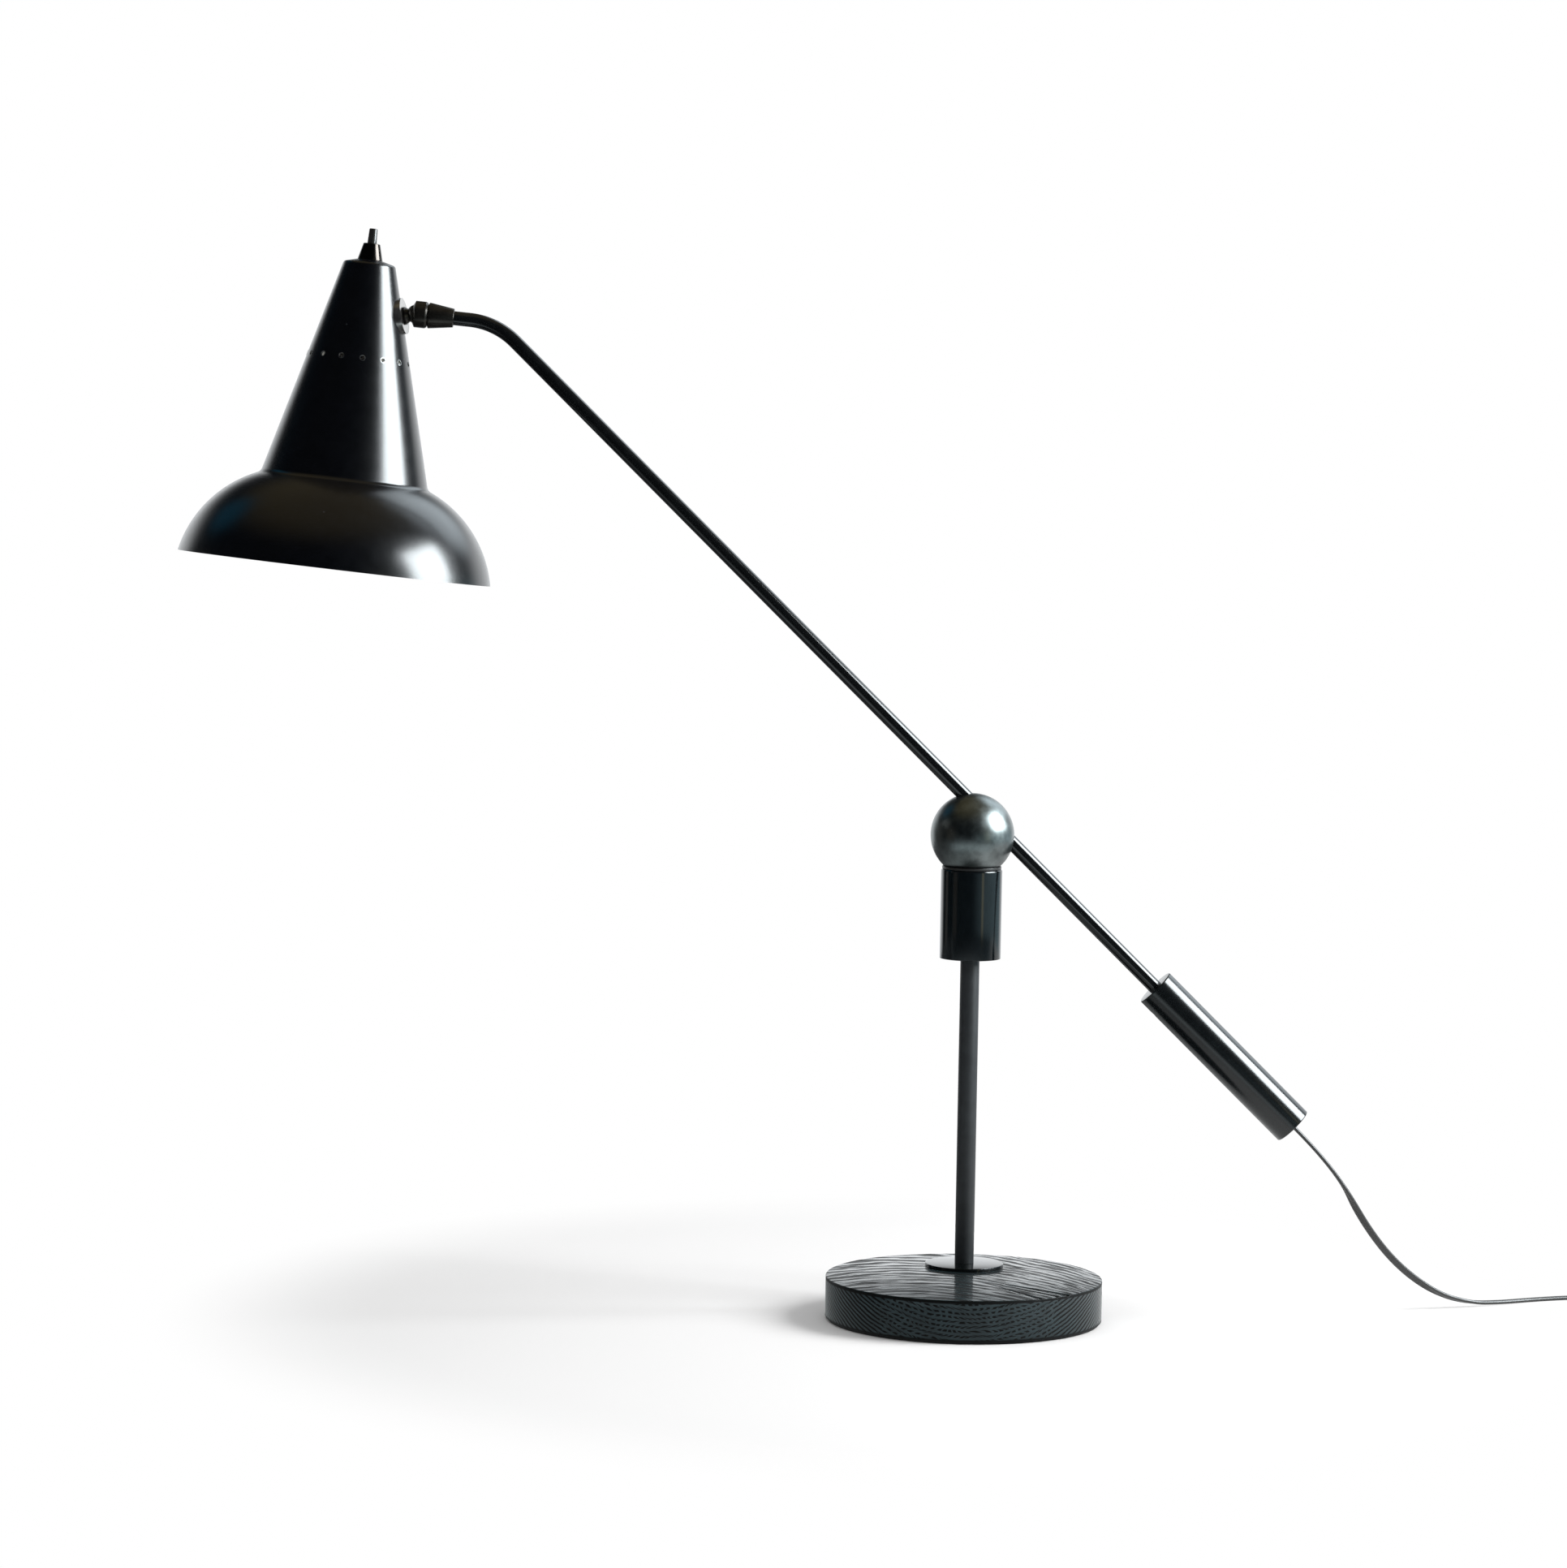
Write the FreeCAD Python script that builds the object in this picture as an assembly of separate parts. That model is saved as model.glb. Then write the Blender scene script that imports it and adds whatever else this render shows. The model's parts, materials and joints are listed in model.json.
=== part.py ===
"""Counterweight balance desk lamp, built as separate pieces.

Frame: millimetres, +Z up, +Y towards the back of the base, +X from the shade towards the
counterweight. The origin is the centre of the base's underside.

A wooden base with a steel ballast plate carries a stem off its centre. The stem ends in a
cup, where a steel ball rests on a seat ring over a magnet. The arm runs through the ball,
off its centre, from the counterweight at its low end to a ball swivel at its bent high
end, which holds the shade by its wall.
"""
import FreeCAD
import Part
import math
import os

# ---------------------------------------------------------------- driving dimensions, mm

# Base.
PAD_RADIUS = 89.7
PAD_THICKNESS = 1.5
BASE_RADIUS = 91.2
BASE_TOP = 28.4
BASE_EDGE_ROUND = 0.7
RECESS_RADIUS = 76.0
RECESS_TOP = 15.0
BALLAST_RADIUS = 75.7
BALLAST_THICKNESS = 12.0
BALLAST_SCREW_CIRCLE = 60.0
BALLAST_SCREW_COUNT = 3
BALLAST_SCREW_TURN = 30.0
SCREW_HEAD_RADIUS = 4.0
SCREW_RADIUS = 2.0
SCREW_HEAD_HEIGHT = 2.4
SCREW_TIP = 24.0

# Stem, on its own axis behind the base's centre.
STEM_X = 1.5
STEM_Y = 42.6
FLANGE_RADIUS = 26.1
FLANGE_THICKNESS = 2.2
FLANGE_EDGE_ROUND = 0.4
STEM_RADIUS = 6.35
STEM_BORE = 4.6
ROD_RADIUS = 4.0
ROD_HOLE = 4.3
ROD_BOTTOM = 2.0
ROD_TOP = 250.0
NUT_FLATS = 13.0
NUT_POCKET = 10.5
NUT_POCKET_RADIUS = 9.5
NUT_HEIGHT = 6.5
LOCK_WASHER_RADIUS = 6.9
LOCK_WASHER_THICKNESS = 1.6

# Cup and ball.
CUP_RADIUS = 20.4
CUP_BOTTOM = 235.2
CUP_TOP = 294.9
CUP_EDGE_ROUND = 1.3
CUP_BORE = 17.7
CUP_BORE_FLOOR = 272.0
MAGNET_POT_RADIUS = 15.5
MAGNET_POT_HEIGHT = 15.0
MAGNET_RADIUS = 11.4
MAGNET_POCKET = 11.5
MAGNET_FLOOR = 3.0
MAGNET_HOLE = 4.2
MAGNET_SCREW_RADIUS = 2.0
MAGNET_SCREW_TIP = 262.5
MAGNET_SCREW_HEAD_RADIUS = 3.6
MAGNET_SCREW_HEAD_HEIGHT = 2.6
BALL_RADIUS = 27.8
BALL_HEIGHT = 317.4
SEAT_CLEARANCE = 0.15
SEAT_LIP_RADIUS = 19.7
SEAT_LIP_BOTTOM = 295.0
SEAT_LIP_TOP = 296.7
SEAT_SPIGOT_RADIUS = 17.6
SEAT_BOTTOM = 289.3
SEAT_HOLE = 12.0

# Arm. Its straight part passes the ball's centre at ARM_OFFSET, up and towards +X.
ARM_SLOPE = 44.3
ARM_OFFSET = 14.9
ARM_RADIUS = 4.7
ARM_INNER_RADIUS = 3.5
ARM_BORE_IN_BALL = 4.77
ARM_LOW_END = 284.0
BEND_START = 444.5
BEND_RADIUS = 49.0
END_SLOPE = 5.2
END_STRAIGHT = 35.6

# Counterweight, by its distances along the arm from the point nearest the ball's centre.
WEIGHT_RADIUS = 13.5
WEIGHT_START = 157.8
WEIGHT_END = 289.1
WEIGHT_CORE_RADIUS = 11.5
WEIGHT_CAP = 4.0
WEIGHT_EDGE_ROUND = 0.8
WEIGHT_SCREW_AT = 170.0
WEIGHT_SCREW_RADIUS = 2.5
BUSH_LIP = 1.5
BUSH_LIP_RADIUS = 3.2

# Ball swivel at the arm's end. Heights run from the ball's centre towards the arm.
SWIVEL_BALL_RADIUS = 6.3
SWIVEL_CLEARANCE = 0.12
COLLAR_RADIUS = 8.8
COLLAR_FACE = -2.0
COLLAR_FACE_RADIUS = 6.5
COLLAR_CHAMFER_END = -0.75
COLLAR_END = 7.4
COLLAR_BEVEL = 0.7
COLLAR_BEVEL_LENGTH = 1.3
COLLAR_STEP = 3.3
SPIGOT_RADIUS = 7.25
SPIGOT_BORE = 6.45
SOCKET_START = 8.0
SOCKET_RADIUS = 8.65
SOCKET_END = 25.0
SOCKET_END_RADIUS = 6.2
SOCKET_POCKET = 11.6
SOCKET_WIRE_HOLE = 2.8
SPRING_FLOOR = 7.7
SWIVEL_SEAT_START = 2.6
SWIVEL_SEAT_END = 6.8

# Ball stud. Heights run from the ball's centre into the shade, square to its wall.
NECK_RADIUS = 4.2
NECK_HEIGHT = 4.5
STUD_RADIUS = 5.9
STUD_FLARE_END = 6.7
STUD_FACE = 7.88
WASHER_FACE = 8.0
WALL_DISTANCE = 9.9
SHANK_RADIUS = 3.9
SHANK_END = 17.0
STUD_BORE = 2.0
WASHER_RADIUS = 12.0
INNER_WASHER_RADIUS = 8.5
INNER_WASHER_FACE = 12.4
STUD_NUT_FLATS = 12.0
STUD_NUT_HEIGHT = 3.0

# Shade. Heights run down its axis from the point where its cone would end.
SHADE_TILT = 5.86
SHADE_LEAN = 2.2
SWIVEL_YAW = 9.0
CONE_ANGLE = 14.87
SWIVEL_HEIGHT = 96.6
SHELL = 0.8
CAP_HEIGHT = 62.2
CAP_FLAT_RADIUS = 9.0
CAP_EDGE_RADIUS = 15.9
CAP_EDGE_HEIGHT = 64.2
SHOULDER_MIDDLE = (17.25, 65.3)
SHOULDER_END = 67.5
BOWL_CENTRE_HEIGHT = 281.9
BOWL_CENTRE_RADIUS = 26.3
BOWL_ROUND = 78.9
CREASE_ROUND = 5.0
RIM_HEIGHT = 266.4
CONE_END = 206.0
BOWL_END = 240.0
VENT_COUNT = 15
VENT_RADIUS = 1.6
VENT_HEIGHT = 127.5

# Switch and lampholder, on the shade's axis.
SWITCH_NECK_RADIUS = 4.9
FERRULE_TOP = 51.3
FERRULE_TOP_RADIUS = 5.5
FERRULE_BASE_RADIUS = 8.4
SWITCH_WASHER_RADIUS = 8.0
BRACKET_TOP = 64.9
BRACKET_BOTTOM = 91.2
BRACKET_SHEET = 1.2
BRACKET_HALF_WIDTH = 5.0
BRACKET_REACH = 12.6
SWITCH_RADIUS = 10.8
SWITCH_END = 84.0
PLUNGER_RADIUS = 3.1
PLUNGER_TIP_RADIUS = 2.75
PLUNGER_TOP = 41.4
PLUNGER_END = 62.0
PLUNGER_GUIDE = 3.18
PLUNGER_SHAFT_END = 70.0
NIPPLE_RADIUS = 4.95
NIPPLE_BORE = 3.5
NIPPLE_TOP = 86.6
NIPPLE_END = 98.0
HOLDER_RADIUS = 14.5
HOLDER_TOP_RADIUS = 8.0
HOLDER_SHOULDER = 100.0
HOLDER_SEAM = 112.0
HOLDER_END = 146.0
HOLDER_WALL = 1.6
THREAD_SHELL_RADIUS = 7.25
THREAD_SHELL_WALL = 0.4
THREAD_SHELL_START = 117.0
THREAD_SHELL_END = 140.0
INSERT_END = 134.0
CONTACT_HEIGHT = 115.5
WIRE_RADIUS = 0.8
WIRE_GAP = 0.25

# Bulb: a round 45 mm bulb on a small screw cap.
BULB_TIP = 116.2
BULB_CAP_RADIUS = 6.95
BULB_CAP_START = 119.0
BULB_CAP_END = 142.0
BULB_NECK_RADIUS = 9.0
BULB_RADIUS = 22.5
BULB_CENTRE = 173.5
BULB_GLASS = 0.8
BULB_CAP_SHEET = 0.3

# Mains lead: a flat twin cord, drawn as a round tube of its width.
CORD_RADIUS = 2.4
CORD_GAP = 0.25
CORD_ROUTE = (
    (247.5, 42.6, 98.2),
    (268.5, 47.0, 60.2),
    (292.0, 56.0, 31.2),
    (320.0, 68.5, 10.9),
    (344.5, 79.5, 3.3),
    (366.0, 88.5, 2.4),
    (387.0, 99.5, 2.4),
    (405.0, 106.3, 2.4),
    (420.5, 111.2, 2.7),
    (434.0, 113.3, 3.0),
)
ARC_SHARE = 0.45

# Put-away coil: turns spiral in on the lower layer and out again on the upper one.
COIL_X = 452.0
COIL_Y = 74.0
COIL_RADIUS = 39.3
COIL_PITCH = 5.3
COIL_TURNS_PER_LAYER = 4
COIL_BOTTOM = 3.0
COIL_EXIT_STEP = 5.6
PLUG_AXIS_HEIGHT = 6.95
COIL_LEAD = 4.8
COIL_TAIL = 6.0
TIE_WIDTH = 8.0
TIE_SHEET = 0.35
TIE_GAP = 0.2

# Plug, lying flat beside the coil, its pins towards -Y.
RELIEF_LENGTH = 24.0
RELIEF_START_RADIUS = 3.0
RELIEF_END_RADIUS = 5.0
PLUG_LENGTH = 36.0
PLUG_BACK_WIDTH = 14.0
PLUG_FRONT_WIDTH = 35.0
PLUG_HALF_THICKNESS = 6.85
PLUG_CORNER = 3.0
PIN_RADIUS = 2.0
PIN_LENGTH = 19.0
PIN_SPACING = 19.0
PIN_SLEEVE_LENGTH = 10.0
PIN_SLEEVE_STEP = 0.12

FULL_TURN = 360.0
FIT = 0.03
OVERRUN = 5.0
TAN_CONE = math.tan(math.radians(CONE_ANGLE))
SIN_CONE = math.sin(math.radians(CONE_ANGLE))
COS_CONE = math.cos(math.radians(CONE_ANGLE))


# ---------------------------------------------------------------- building helpers

def vector(x, y, z):
    return FreeCAD.Vector(x, y, z)


def unit(v):
    return v * (1.0 / v.Length)


def line(start, end):
    return Part.LineSegment(start, end).toShape()


def arc(start, middle, end):
    return Part.Arc(start, middle, end).toShape()


def turned(*outline):
    """Solid of revolution about Z. The outline is a closed loop of (radius, height)
    corners; a pair of corners is an arc through the first to the second."""
    edges = []
    here = outline[0]
    for step in outline[1:] + (outline[0],):
        if isinstance(step[0], tuple):
            middle, end = step
            edges.append(arc(vector(here[0], 0, here[1]), vector(middle[0], 0, middle[1]),
                             vector(end[0], 0, end[1])))
            here = end
        elif step != here:
            edges.append(line(vector(here[0], 0, here[1]), vector(step[0], 0, step[1])))
            here = step
    face = Part.Face(Part.Wire(edges))
    solid = face.revolve(vector(0, 0, 0), vector(0, 0, 1), FULL_TURN)
    if solid.Volume < 0:
        solid.reverse()
    return solid


def rod(radius, bottom, top):
    return Part.makeCylinder(radius, top - bottom, vector(0, 0, bottom))


def ring(inner, outer, bottom, top):
    return turned((inner, bottom), (outer, bottom), (outer, top), (inner, top))


def hexagon(flats, bottom, top):
    """Hexagonal prism about Z, by its width across flats."""
    reach = flats / math.sqrt(3)
    corners = []
    for number in range(7):
        angle = math.radians(60 * number)
        corners.append(vector(reach * math.cos(angle), reach * math.sin(angle), bottom))
    face = Part.Face(Part.makePolygon(corners))
    return face.extrude(vector(0, 0, top - bottom))


def block(low, high):
    """Box between two opposite corners."""
    size = [b - a for a, b in zip(low, high)]
    return Part.makeBox(size[0], size[1], size[2], vector(*low))


def frame(origin, z_axis, x_hint):
    """Placement with its Z along z_axis and its X as near to x_hint as it can be."""
    z = unit(z_axis)
    x = unit(x_hint - z * x_hint.dot(z))
    y = z.cross(x)
    return FreeCAD.Placement(FreeCAD.Matrix(
        x.x, y.x, z.x, origin.x,
        x.y, y.y, z.y, origin.y,
        x.z, y.z, z.z, origin.z,
        0, 0, 0, 1))


def moved(shape, placement):
    result = shape.copy()
    result.Placement = placement.multiply(result.Placement)
    return result


def upright(shape, x=STEM_X, y=STEM_Y):
    """A shape made about Z, moved sideways onto an upright axis."""
    return moved(shape, FreeCAD.Placement(vector(x, y, 0), FreeCAD.Rotation()))


def rounded_path(points, report=None):
    """Edges of straight runs joined by tangent arcs, and the arcs' radii."""
    edges = []
    here = points[0]
    radii = []
    for before, corner, after in zip(points, points[1:], points[2:]):
        into = unit(corner - before)
        out = unit(after - corner)
        turn = into.getAngle(out)
        cut = ARC_SHARE * min((corner - before).Length, (after - corner).Length)
        radius = cut / math.tan(turn / 2)
        start = corner - into * cut
        end = corner + out * cut
        sagitta = radius / math.cos(turn / 2) - radius
        middle = corner + unit(out - into) * sagitta
        edges.append(line(here, start))
        edges.append(arc(start, middle, end))
        radii.append(radius)
        here = end
    edges.append(line(here, points[-1]))
    if report:
        print(report, "arc radii, mm:", ", ".join("%.1f" % r for r in radii))
    return edges


def tube(edges, radius):
    """Round solid along a chain of tangent edges."""
    start = edges[0].valueAt(edges[0].FirstParameter)
    along = edges[0].tangentAt(edges[0].FirstParameter)
    section = Part.Wire(Part.makeCircle(radius, start, along))
    solid = Part.Wire(edges).makePipeShell([section], True, False)
    if solid.Volume < 0:
        solid.reverse()
    return solid


# ---------------------------------------------------------------- frames of the assembly

STEM = vector(STEM_X, STEM_Y, 0)
BALL = vector(STEM_X, STEM_Y, BALL_HEIGHT)
ARM_DOWN = vector(math.cos(math.radians(ARM_SLOPE)), 0, -math.sin(math.radians(ARM_SLOPE)))
ARM_SIDE = vector(math.sin(math.radians(ARM_SLOPE)), 0, math.cos(math.radians(ARM_SLOPE)))
ARM_FOOT = BALL + ARM_SIDE * ARM_OFFSET
END_DOWN = vector(math.cos(math.radians(END_SLOPE)), 0, -math.sin(math.radians(END_SLOPE)))
END_SIDE = vector(math.sin(math.radians(END_SLOPE)), 0, math.cos(math.radians(END_SLOPE)))
BEND_LOW = ARM_FOOT - ARM_DOWN * BEND_START
BEND_CENTRE = BEND_LOW - ARM_SIDE * BEND_RADIUS
BEND_HIGH = BEND_CENTRE + END_SIDE * BEND_RADIUS
BEND_MIDDLE = BEND_CENTRE + unit(ARM_SIDE + END_SIDE) * BEND_RADIUS
SWIVEL = BEND_HIGH - END_DOWN * END_STRAIGHT

SHADE_UP = vector(
    math.sin(math.radians(SHADE_TILT)) * math.cos(math.radians(SHADE_LEAN)),
    math.sin(math.radians(SHADE_LEAN)),
    math.cos(math.radians(SHADE_TILT)) * math.cos(math.radians(SHADE_LEAN)))
SWIVEL_WAY = vector(math.cos(math.radians(SWIVEL_YAW)), -math.sin(math.radians(SWIVEL_YAW)), 0)
SHADE_OUT = unit(SWIVEL_WAY - SHADE_UP * SWIVEL_WAY.dot(SHADE_UP))
WALL_OUT = SHADE_OUT * COS_CONE + SHADE_UP * SIN_CONE
WALL_POINT = SWIVEL - WALL_OUT * WALL_DISTANCE
SHADE_APEX = WALL_POINT + SHADE_UP * SWIVEL_HEIGHT - SHADE_OUT * (SWIVEL_HEIGHT * TAN_CONE)

ARM_FRAME = frame(ARM_FOOT, ARM_DOWN, ARM_SIDE)
SOCKET_FRAME = frame(SWIVEL, END_DOWN, END_SIDE)
STUD_FRAME = frame(SWIVEL, WALL_OUT * -1, SHADE_UP)
SHADE_FRAME = frame(SHADE_APEX, SHADE_UP * -1, SHADE_OUT)


# ---------------------------------------------------------------- base and stem

def base_pad():
    return rod(PAD_RADIUS, 0, PAD_THICKNESS)


def ballast_screw_places():
    places = []
    for number in range(BALLAST_SCREW_COUNT):
        angle = math.radians(BALLAST_SCREW_TURN + FULL_TURN / BALLAST_SCREW_COUNT * number)
        places.append((BALLAST_SCREW_CIRCLE * math.cos(angle),
                       BALLAST_SCREW_CIRCLE * math.sin(angle)))
    return places


def ballast_screws():
    """Countersunk wood screws that hold the ballast plate, as one group."""
    head = RECESS_TOP - BALLAST_THICKNESS
    screw = turned((0, head), (SCREW_HEAD_RADIUS, head),
                   (SCREW_RADIUS, head + SCREW_HEAD_HEIGHT),
                   (SCREW_RADIUS, SCREW_TIP - SCREW_RADIUS), (0, SCREW_TIP))
    return Part.makeCompound([upright(screw, x, y) for x, y in ballast_screw_places()])


def wooden_base():
    """Solid disc, hollowed below for the ballast plate."""
    edge = BASE_EDGE_ROUND
    near = edge * (1 - math.sqrt(0.5))
    disc = turned((0, RECESS_TOP), (RECESS_RADIUS, RECESS_TOP), (RECESS_RADIUS, PAD_THICKNESS),
                  (BASE_RADIUS, PAD_THICKNESS), (BASE_RADIUS, BASE_TOP - edge),
                  ((BASE_RADIUS - near, BASE_TOP - near), (BASE_RADIUS - edge, BASE_TOP)),
                  (0, BASE_TOP))
    disc = disc.cut(upright(rod(ROD_HOLE, 0, BASE_TOP + OVERRUN)))
    return disc.cut(ballast_screws())


def ballast_plate():
    plate = rod(BALLAST_RADIUS, RECESS_TOP - BALLAST_THICKNESS, RECESS_TOP)
    plate = plate.cut(upright(rod(ROD_HOLE, 0, BASE_TOP)))
    plate = plate.cut(upright(rod(NUT_POCKET_RADIUS, 0, NUT_POCKET)))
    return plate.cut(ballast_screws())


def flange_plate():
    top = BASE_TOP + FLANGE_THICKNESS
    edge = FLANGE_EDGE_ROUND
    near = edge * (1 - math.sqrt(0.5))
    return upright(turned(
        (ROD_HOLE, BASE_TOP), (FLANGE_RADIUS, BASE_TOP), (FLANGE_RADIUS, top - edge),
        ((FLANGE_RADIUS - near, top - near), (FLANGE_RADIUS - edge, top)), (ROD_HOLE, top)))


def stem_tube():
    return upright(ring(STEM_BORE, STEM_RADIUS, BASE_TOP + FLANGE_THICKNESS, CUP_BOTTOM))


def tie_rod():
    """Threaded rod that clamps the cup, stem, flange, base and ballast together."""
    return upright(rod(ROD_RADIUS, ROD_BOTTOM, ROD_TOP))


def rod_nut():
    top = NUT_POCKET - LOCK_WASHER_THICKNESS
    nut = hexagon(NUT_FLATS, top - NUT_HEIGHT, top)
    return upright(nut.cut(rod(ROD_RADIUS + FIT, 0, NUT_POCKET)))


def lock_washer():
    return upright(ring(ROD_RADIUS + FIT, LOCK_WASHER_RADIUS,
                        NUT_POCKET - LOCK_WASHER_THICKNESS, NUT_POCKET))


# ---------------------------------------------------------------- cup, magnet and seat

def cup_housing():
    edge = CUP_EDGE_ROUND
    near = edge * (1 - math.sqrt(0.5))
    cup = turned((0, CUP_BOTTOM), (CUP_RADIUS, CUP_BOTTOM), (CUP_RADIUS, CUP_TOP - edge),
                 ((CUP_RADIUS - near, CUP_TOP - near), (CUP_RADIUS - edge, CUP_TOP)),
                 (CUP_BORE, CUP_TOP), (CUP_BORE, CUP_BORE_FLOOR), (0, CUP_BORE_FLOOR))
    cup = cup.cut(rod(ROD_RADIUS + FIT, CUP_BOTTOM - OVERRUN, ROD_TOP))
    cup = cup.cut(rod(MAGNET_SCREW_RADIUS + FIT, MAGNET_SCREW_TIP - 1, CUP_BORE_FLOOR))
    return upright(cup)


def magnet_pot():
    """Steel pot round the magnet, open towards the ball."""
    top = CUP_BORE_FLOOR + MAGNET_POT_HEIGHT
    floor = CUP_BORE_FLOOR + MAGNET_FLOOR
    return upright(turned(
        (MAGNET_SCREW_RADIUS + FIT, CUP_BORE_FLOOR), (MAGNET_POT_RADIUS, CUP_BORE_FLOOR),
        (MAGNET_POT_RADIUS, top), (MAGNET_POCKET, top), (MAGNET_POCKET, floor),
        (MAGNET_SCREW_RADIUS + FIT, floor)))


def ring_magnet():
    floor = CUP_BORE_FLOOR + MAGNET_FLOOR
    return upright(ring(MAGNET_HOLE, MAGNET_RADIUS, floor, CUP_BORE_FLOOR + MAGNET_POT_HEIGHT))


def magnet_screw():
    seat = CUP_BORE_FLOOR + MAGNET_FLOOR
    return upright(turned(
        (0, MAGNET_SCREW_TIP), (MAGNET_SCREW_RADIUS, MAGNET_SCREW_TIP),
        (MAGNET_SCREW_RADIUS, seat), (MAGNET_SCREW_HEAD_RADIUS, seat),
        (MAGNET_SCREW_HEAD_RADIUS, seat + MAGNET_SCREW_HEAD_HEIGHT),
        (0, seat + MAGNET_SCREW_HEAD_HEIGHT)))


def sphere_height(radius, sphere):
    """Depth below a sphere's centre at which it has the given radius."""
    return math.sqrt(sphere * sphere - radius * radius)


def ball_seat():
    """Seat ring that the ball rests in: a lip on the cup's edge and a spigot in its bore."""
    sphere = BALL_RADIUS + SEAT_CLEARANCE
    top_radius = math.sqrt(sphere ** 2 - (BALL_HEIGHT - SEAT_LIP_TOP) ** 2)
    middle_radius = (top_radius + SEAT_HOLE) / 2
    return upright(turned(
        (SEAT_HOLE, SEAT_BOTTOM), (SEAT_SPIGOT_RADIUS, SEAT_BOTTOM),
        (SEAT_SPIGOT_RADIUS, SEAT_LIP_BOTTOM), (SEAT_LIP_RADIUS, SEAT_LIP_BOTTOM),
        (SEAT_LIP_RADIUS, SEAT_LIP_TOP), (top_radius, SEAT_LIP_TOP),
        ((middle_radius, BALL_HEIGHT - sphere_height(middle_radius, sphere)),
         (SEAT_HOLE, BALL_HEIGHT - sphere_height(SEAT_HOLE, sphere)))))


def pivot_ball():
    """Steel ball, bored off its centre for the arm."""
    ball = Part.makeSphere(BALL_RADIUS, BALL)
    bore = moved(rod(ARM_BORE_IN_BALL, -BALL_RADIUS, BALL_RADIUS), ARM_FRAME)
    return ball.cut(bore)


# ---------------------------------------------------------------- arm and counterweight

def arm_path(low, high):
    """Centre line of the arm, from a distance past the ball to a height at the swivel."""
    return [line(ARM_FOOT + ARM_DOWN * low, BEND_LOW),
            arc(BEND_LOW, BEND_MIDDLE, BEND_HIGH),
            line(BEND_HIGH, SWIVEL + END_DOWN * high)]


def arm_tube():
    outside = tube(arm_path(ARM_LOW_END, SOCKET_POCKET), ARM_RADIUS)
    inside = tube(arm_path(ARM_LOW_END, SOCKET_POCKET), ARM_INNER_RADIUS)
    return outside.cut(inside)


def inner_cord():
    """The lead inside the arm, from the bush's mouth to the swivel."""
    return tube(arm_path(WEIGHT_END + BUSH_LIP, SOCKET_POCKET), CORD_RADIUS)


def weight_screw_hole():
    """Hole for the set screw, from the counterweight's underside to the arm."""
    return frame(ARM_FOOT + ARM_DOWN * WEIGHT_SCREW_AT, ARM_SIDE * -1, ARM_DOWN)


def counterweight_shell():
    """Steel sleeve with a bored floor at its upper end; the core fills it."""
    edge = WEIGHT_EDGE_ROUND
    near = edge * (1 - math.sqrt(0.5))
    bore = ARM_RADIUS + FIT
    shell = turned(
        (bore, WEIGHT_START), (WEIGHT_RADIUS - edge, WEIGHT_START),
        ((WEIGHT_RADIUS - near, WEIGHT_START + near), (WEIGHT_RADIUS, WEIGHT_START + edge)),
        (WEIGHT_RADIUS, WEIGHT_END - edge),
        ((WEIGHT_RADIUS - near, WEIGHT_END - near), (WEIGHT_RADIUS - edge, WEIGHT_END)),
        (WEIGHT_CORE_RADIUS, WEIGHT_END), (WEIGHT_CORE_RADIUS, WEIGHT_START + WEIGHT_CAP),
        (bore, WEIGHT_START + WEIGHT_CAP))
    hole = moved(rod(WEIGHT_SCREW_RADIUS, 0, WEIGHT_RADIUS + OVERRUN), weight_screw_hole())
    return moved(shell, ARM_FRAME).cut(hole)


def counterweight_core():
    """Heavy core round the arm."""
    core = ring(ARM_RADIUS + FIT, WEIGHT_CORE_RADIUS, WEIGHT_START + WEIGHT_CAP,
                WEIGHT_END - WEIGHT_CAP)
    hole = moved(rod(WEIGHT_SCREW_RADIUS, 0, WEIGHT_RADIUS + OVERRUN), weight_screw_hole())
    return moved(core, ARM_FRAME).cut(hole)


def counterweight_cap():
    """Disc that closes the counterweight's low end, flush with its sleeve."""
    return moved(ring(ARM_RADIUS + FIT, WEIGHT_CORE_RADIUS, WEIGHT_END - WEIGHT_CAP, WEIGHT_END),
                 ARM_FRAME)


def counterweight_screw():
    screw = rod(WEIGHT_SCREW_RADIUS, ARM_RADIUS + FIT, WEIGHT_RADIUS - WEIGHT_EDGE_ROUND)
    socket = hexagon(WEIGHT_SCREW_RADIUS, WEIGHT_RADIUS - OVERRUN, WEIGHT_RADIUS)
    return moved(screw.cut(socket), weight_screw_hole())


def cord_bush():
    """Sleeve in the counterweight's end that the lead comes out of, with a small lip."""
    bush = turned((CORD_RADIUS + FIT, ARM_LOW_END), (ARM_RADIUS, ARM_LOW_END),
                  (ARM_RADIUS, WEIGHT_END), (BUSH_LIP_RADIUS, WEIGHT_END),
                  (BUSH_LIP_RADIUS, WEIGHT_END + BUSH_LIP),
                  (CORD_RADIUS + FIT, WEIGHT_END + BUSH_LIP))
    return moved(bush, ARM_FRAME)


# ---------------------------------------------------------------- swivel

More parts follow.
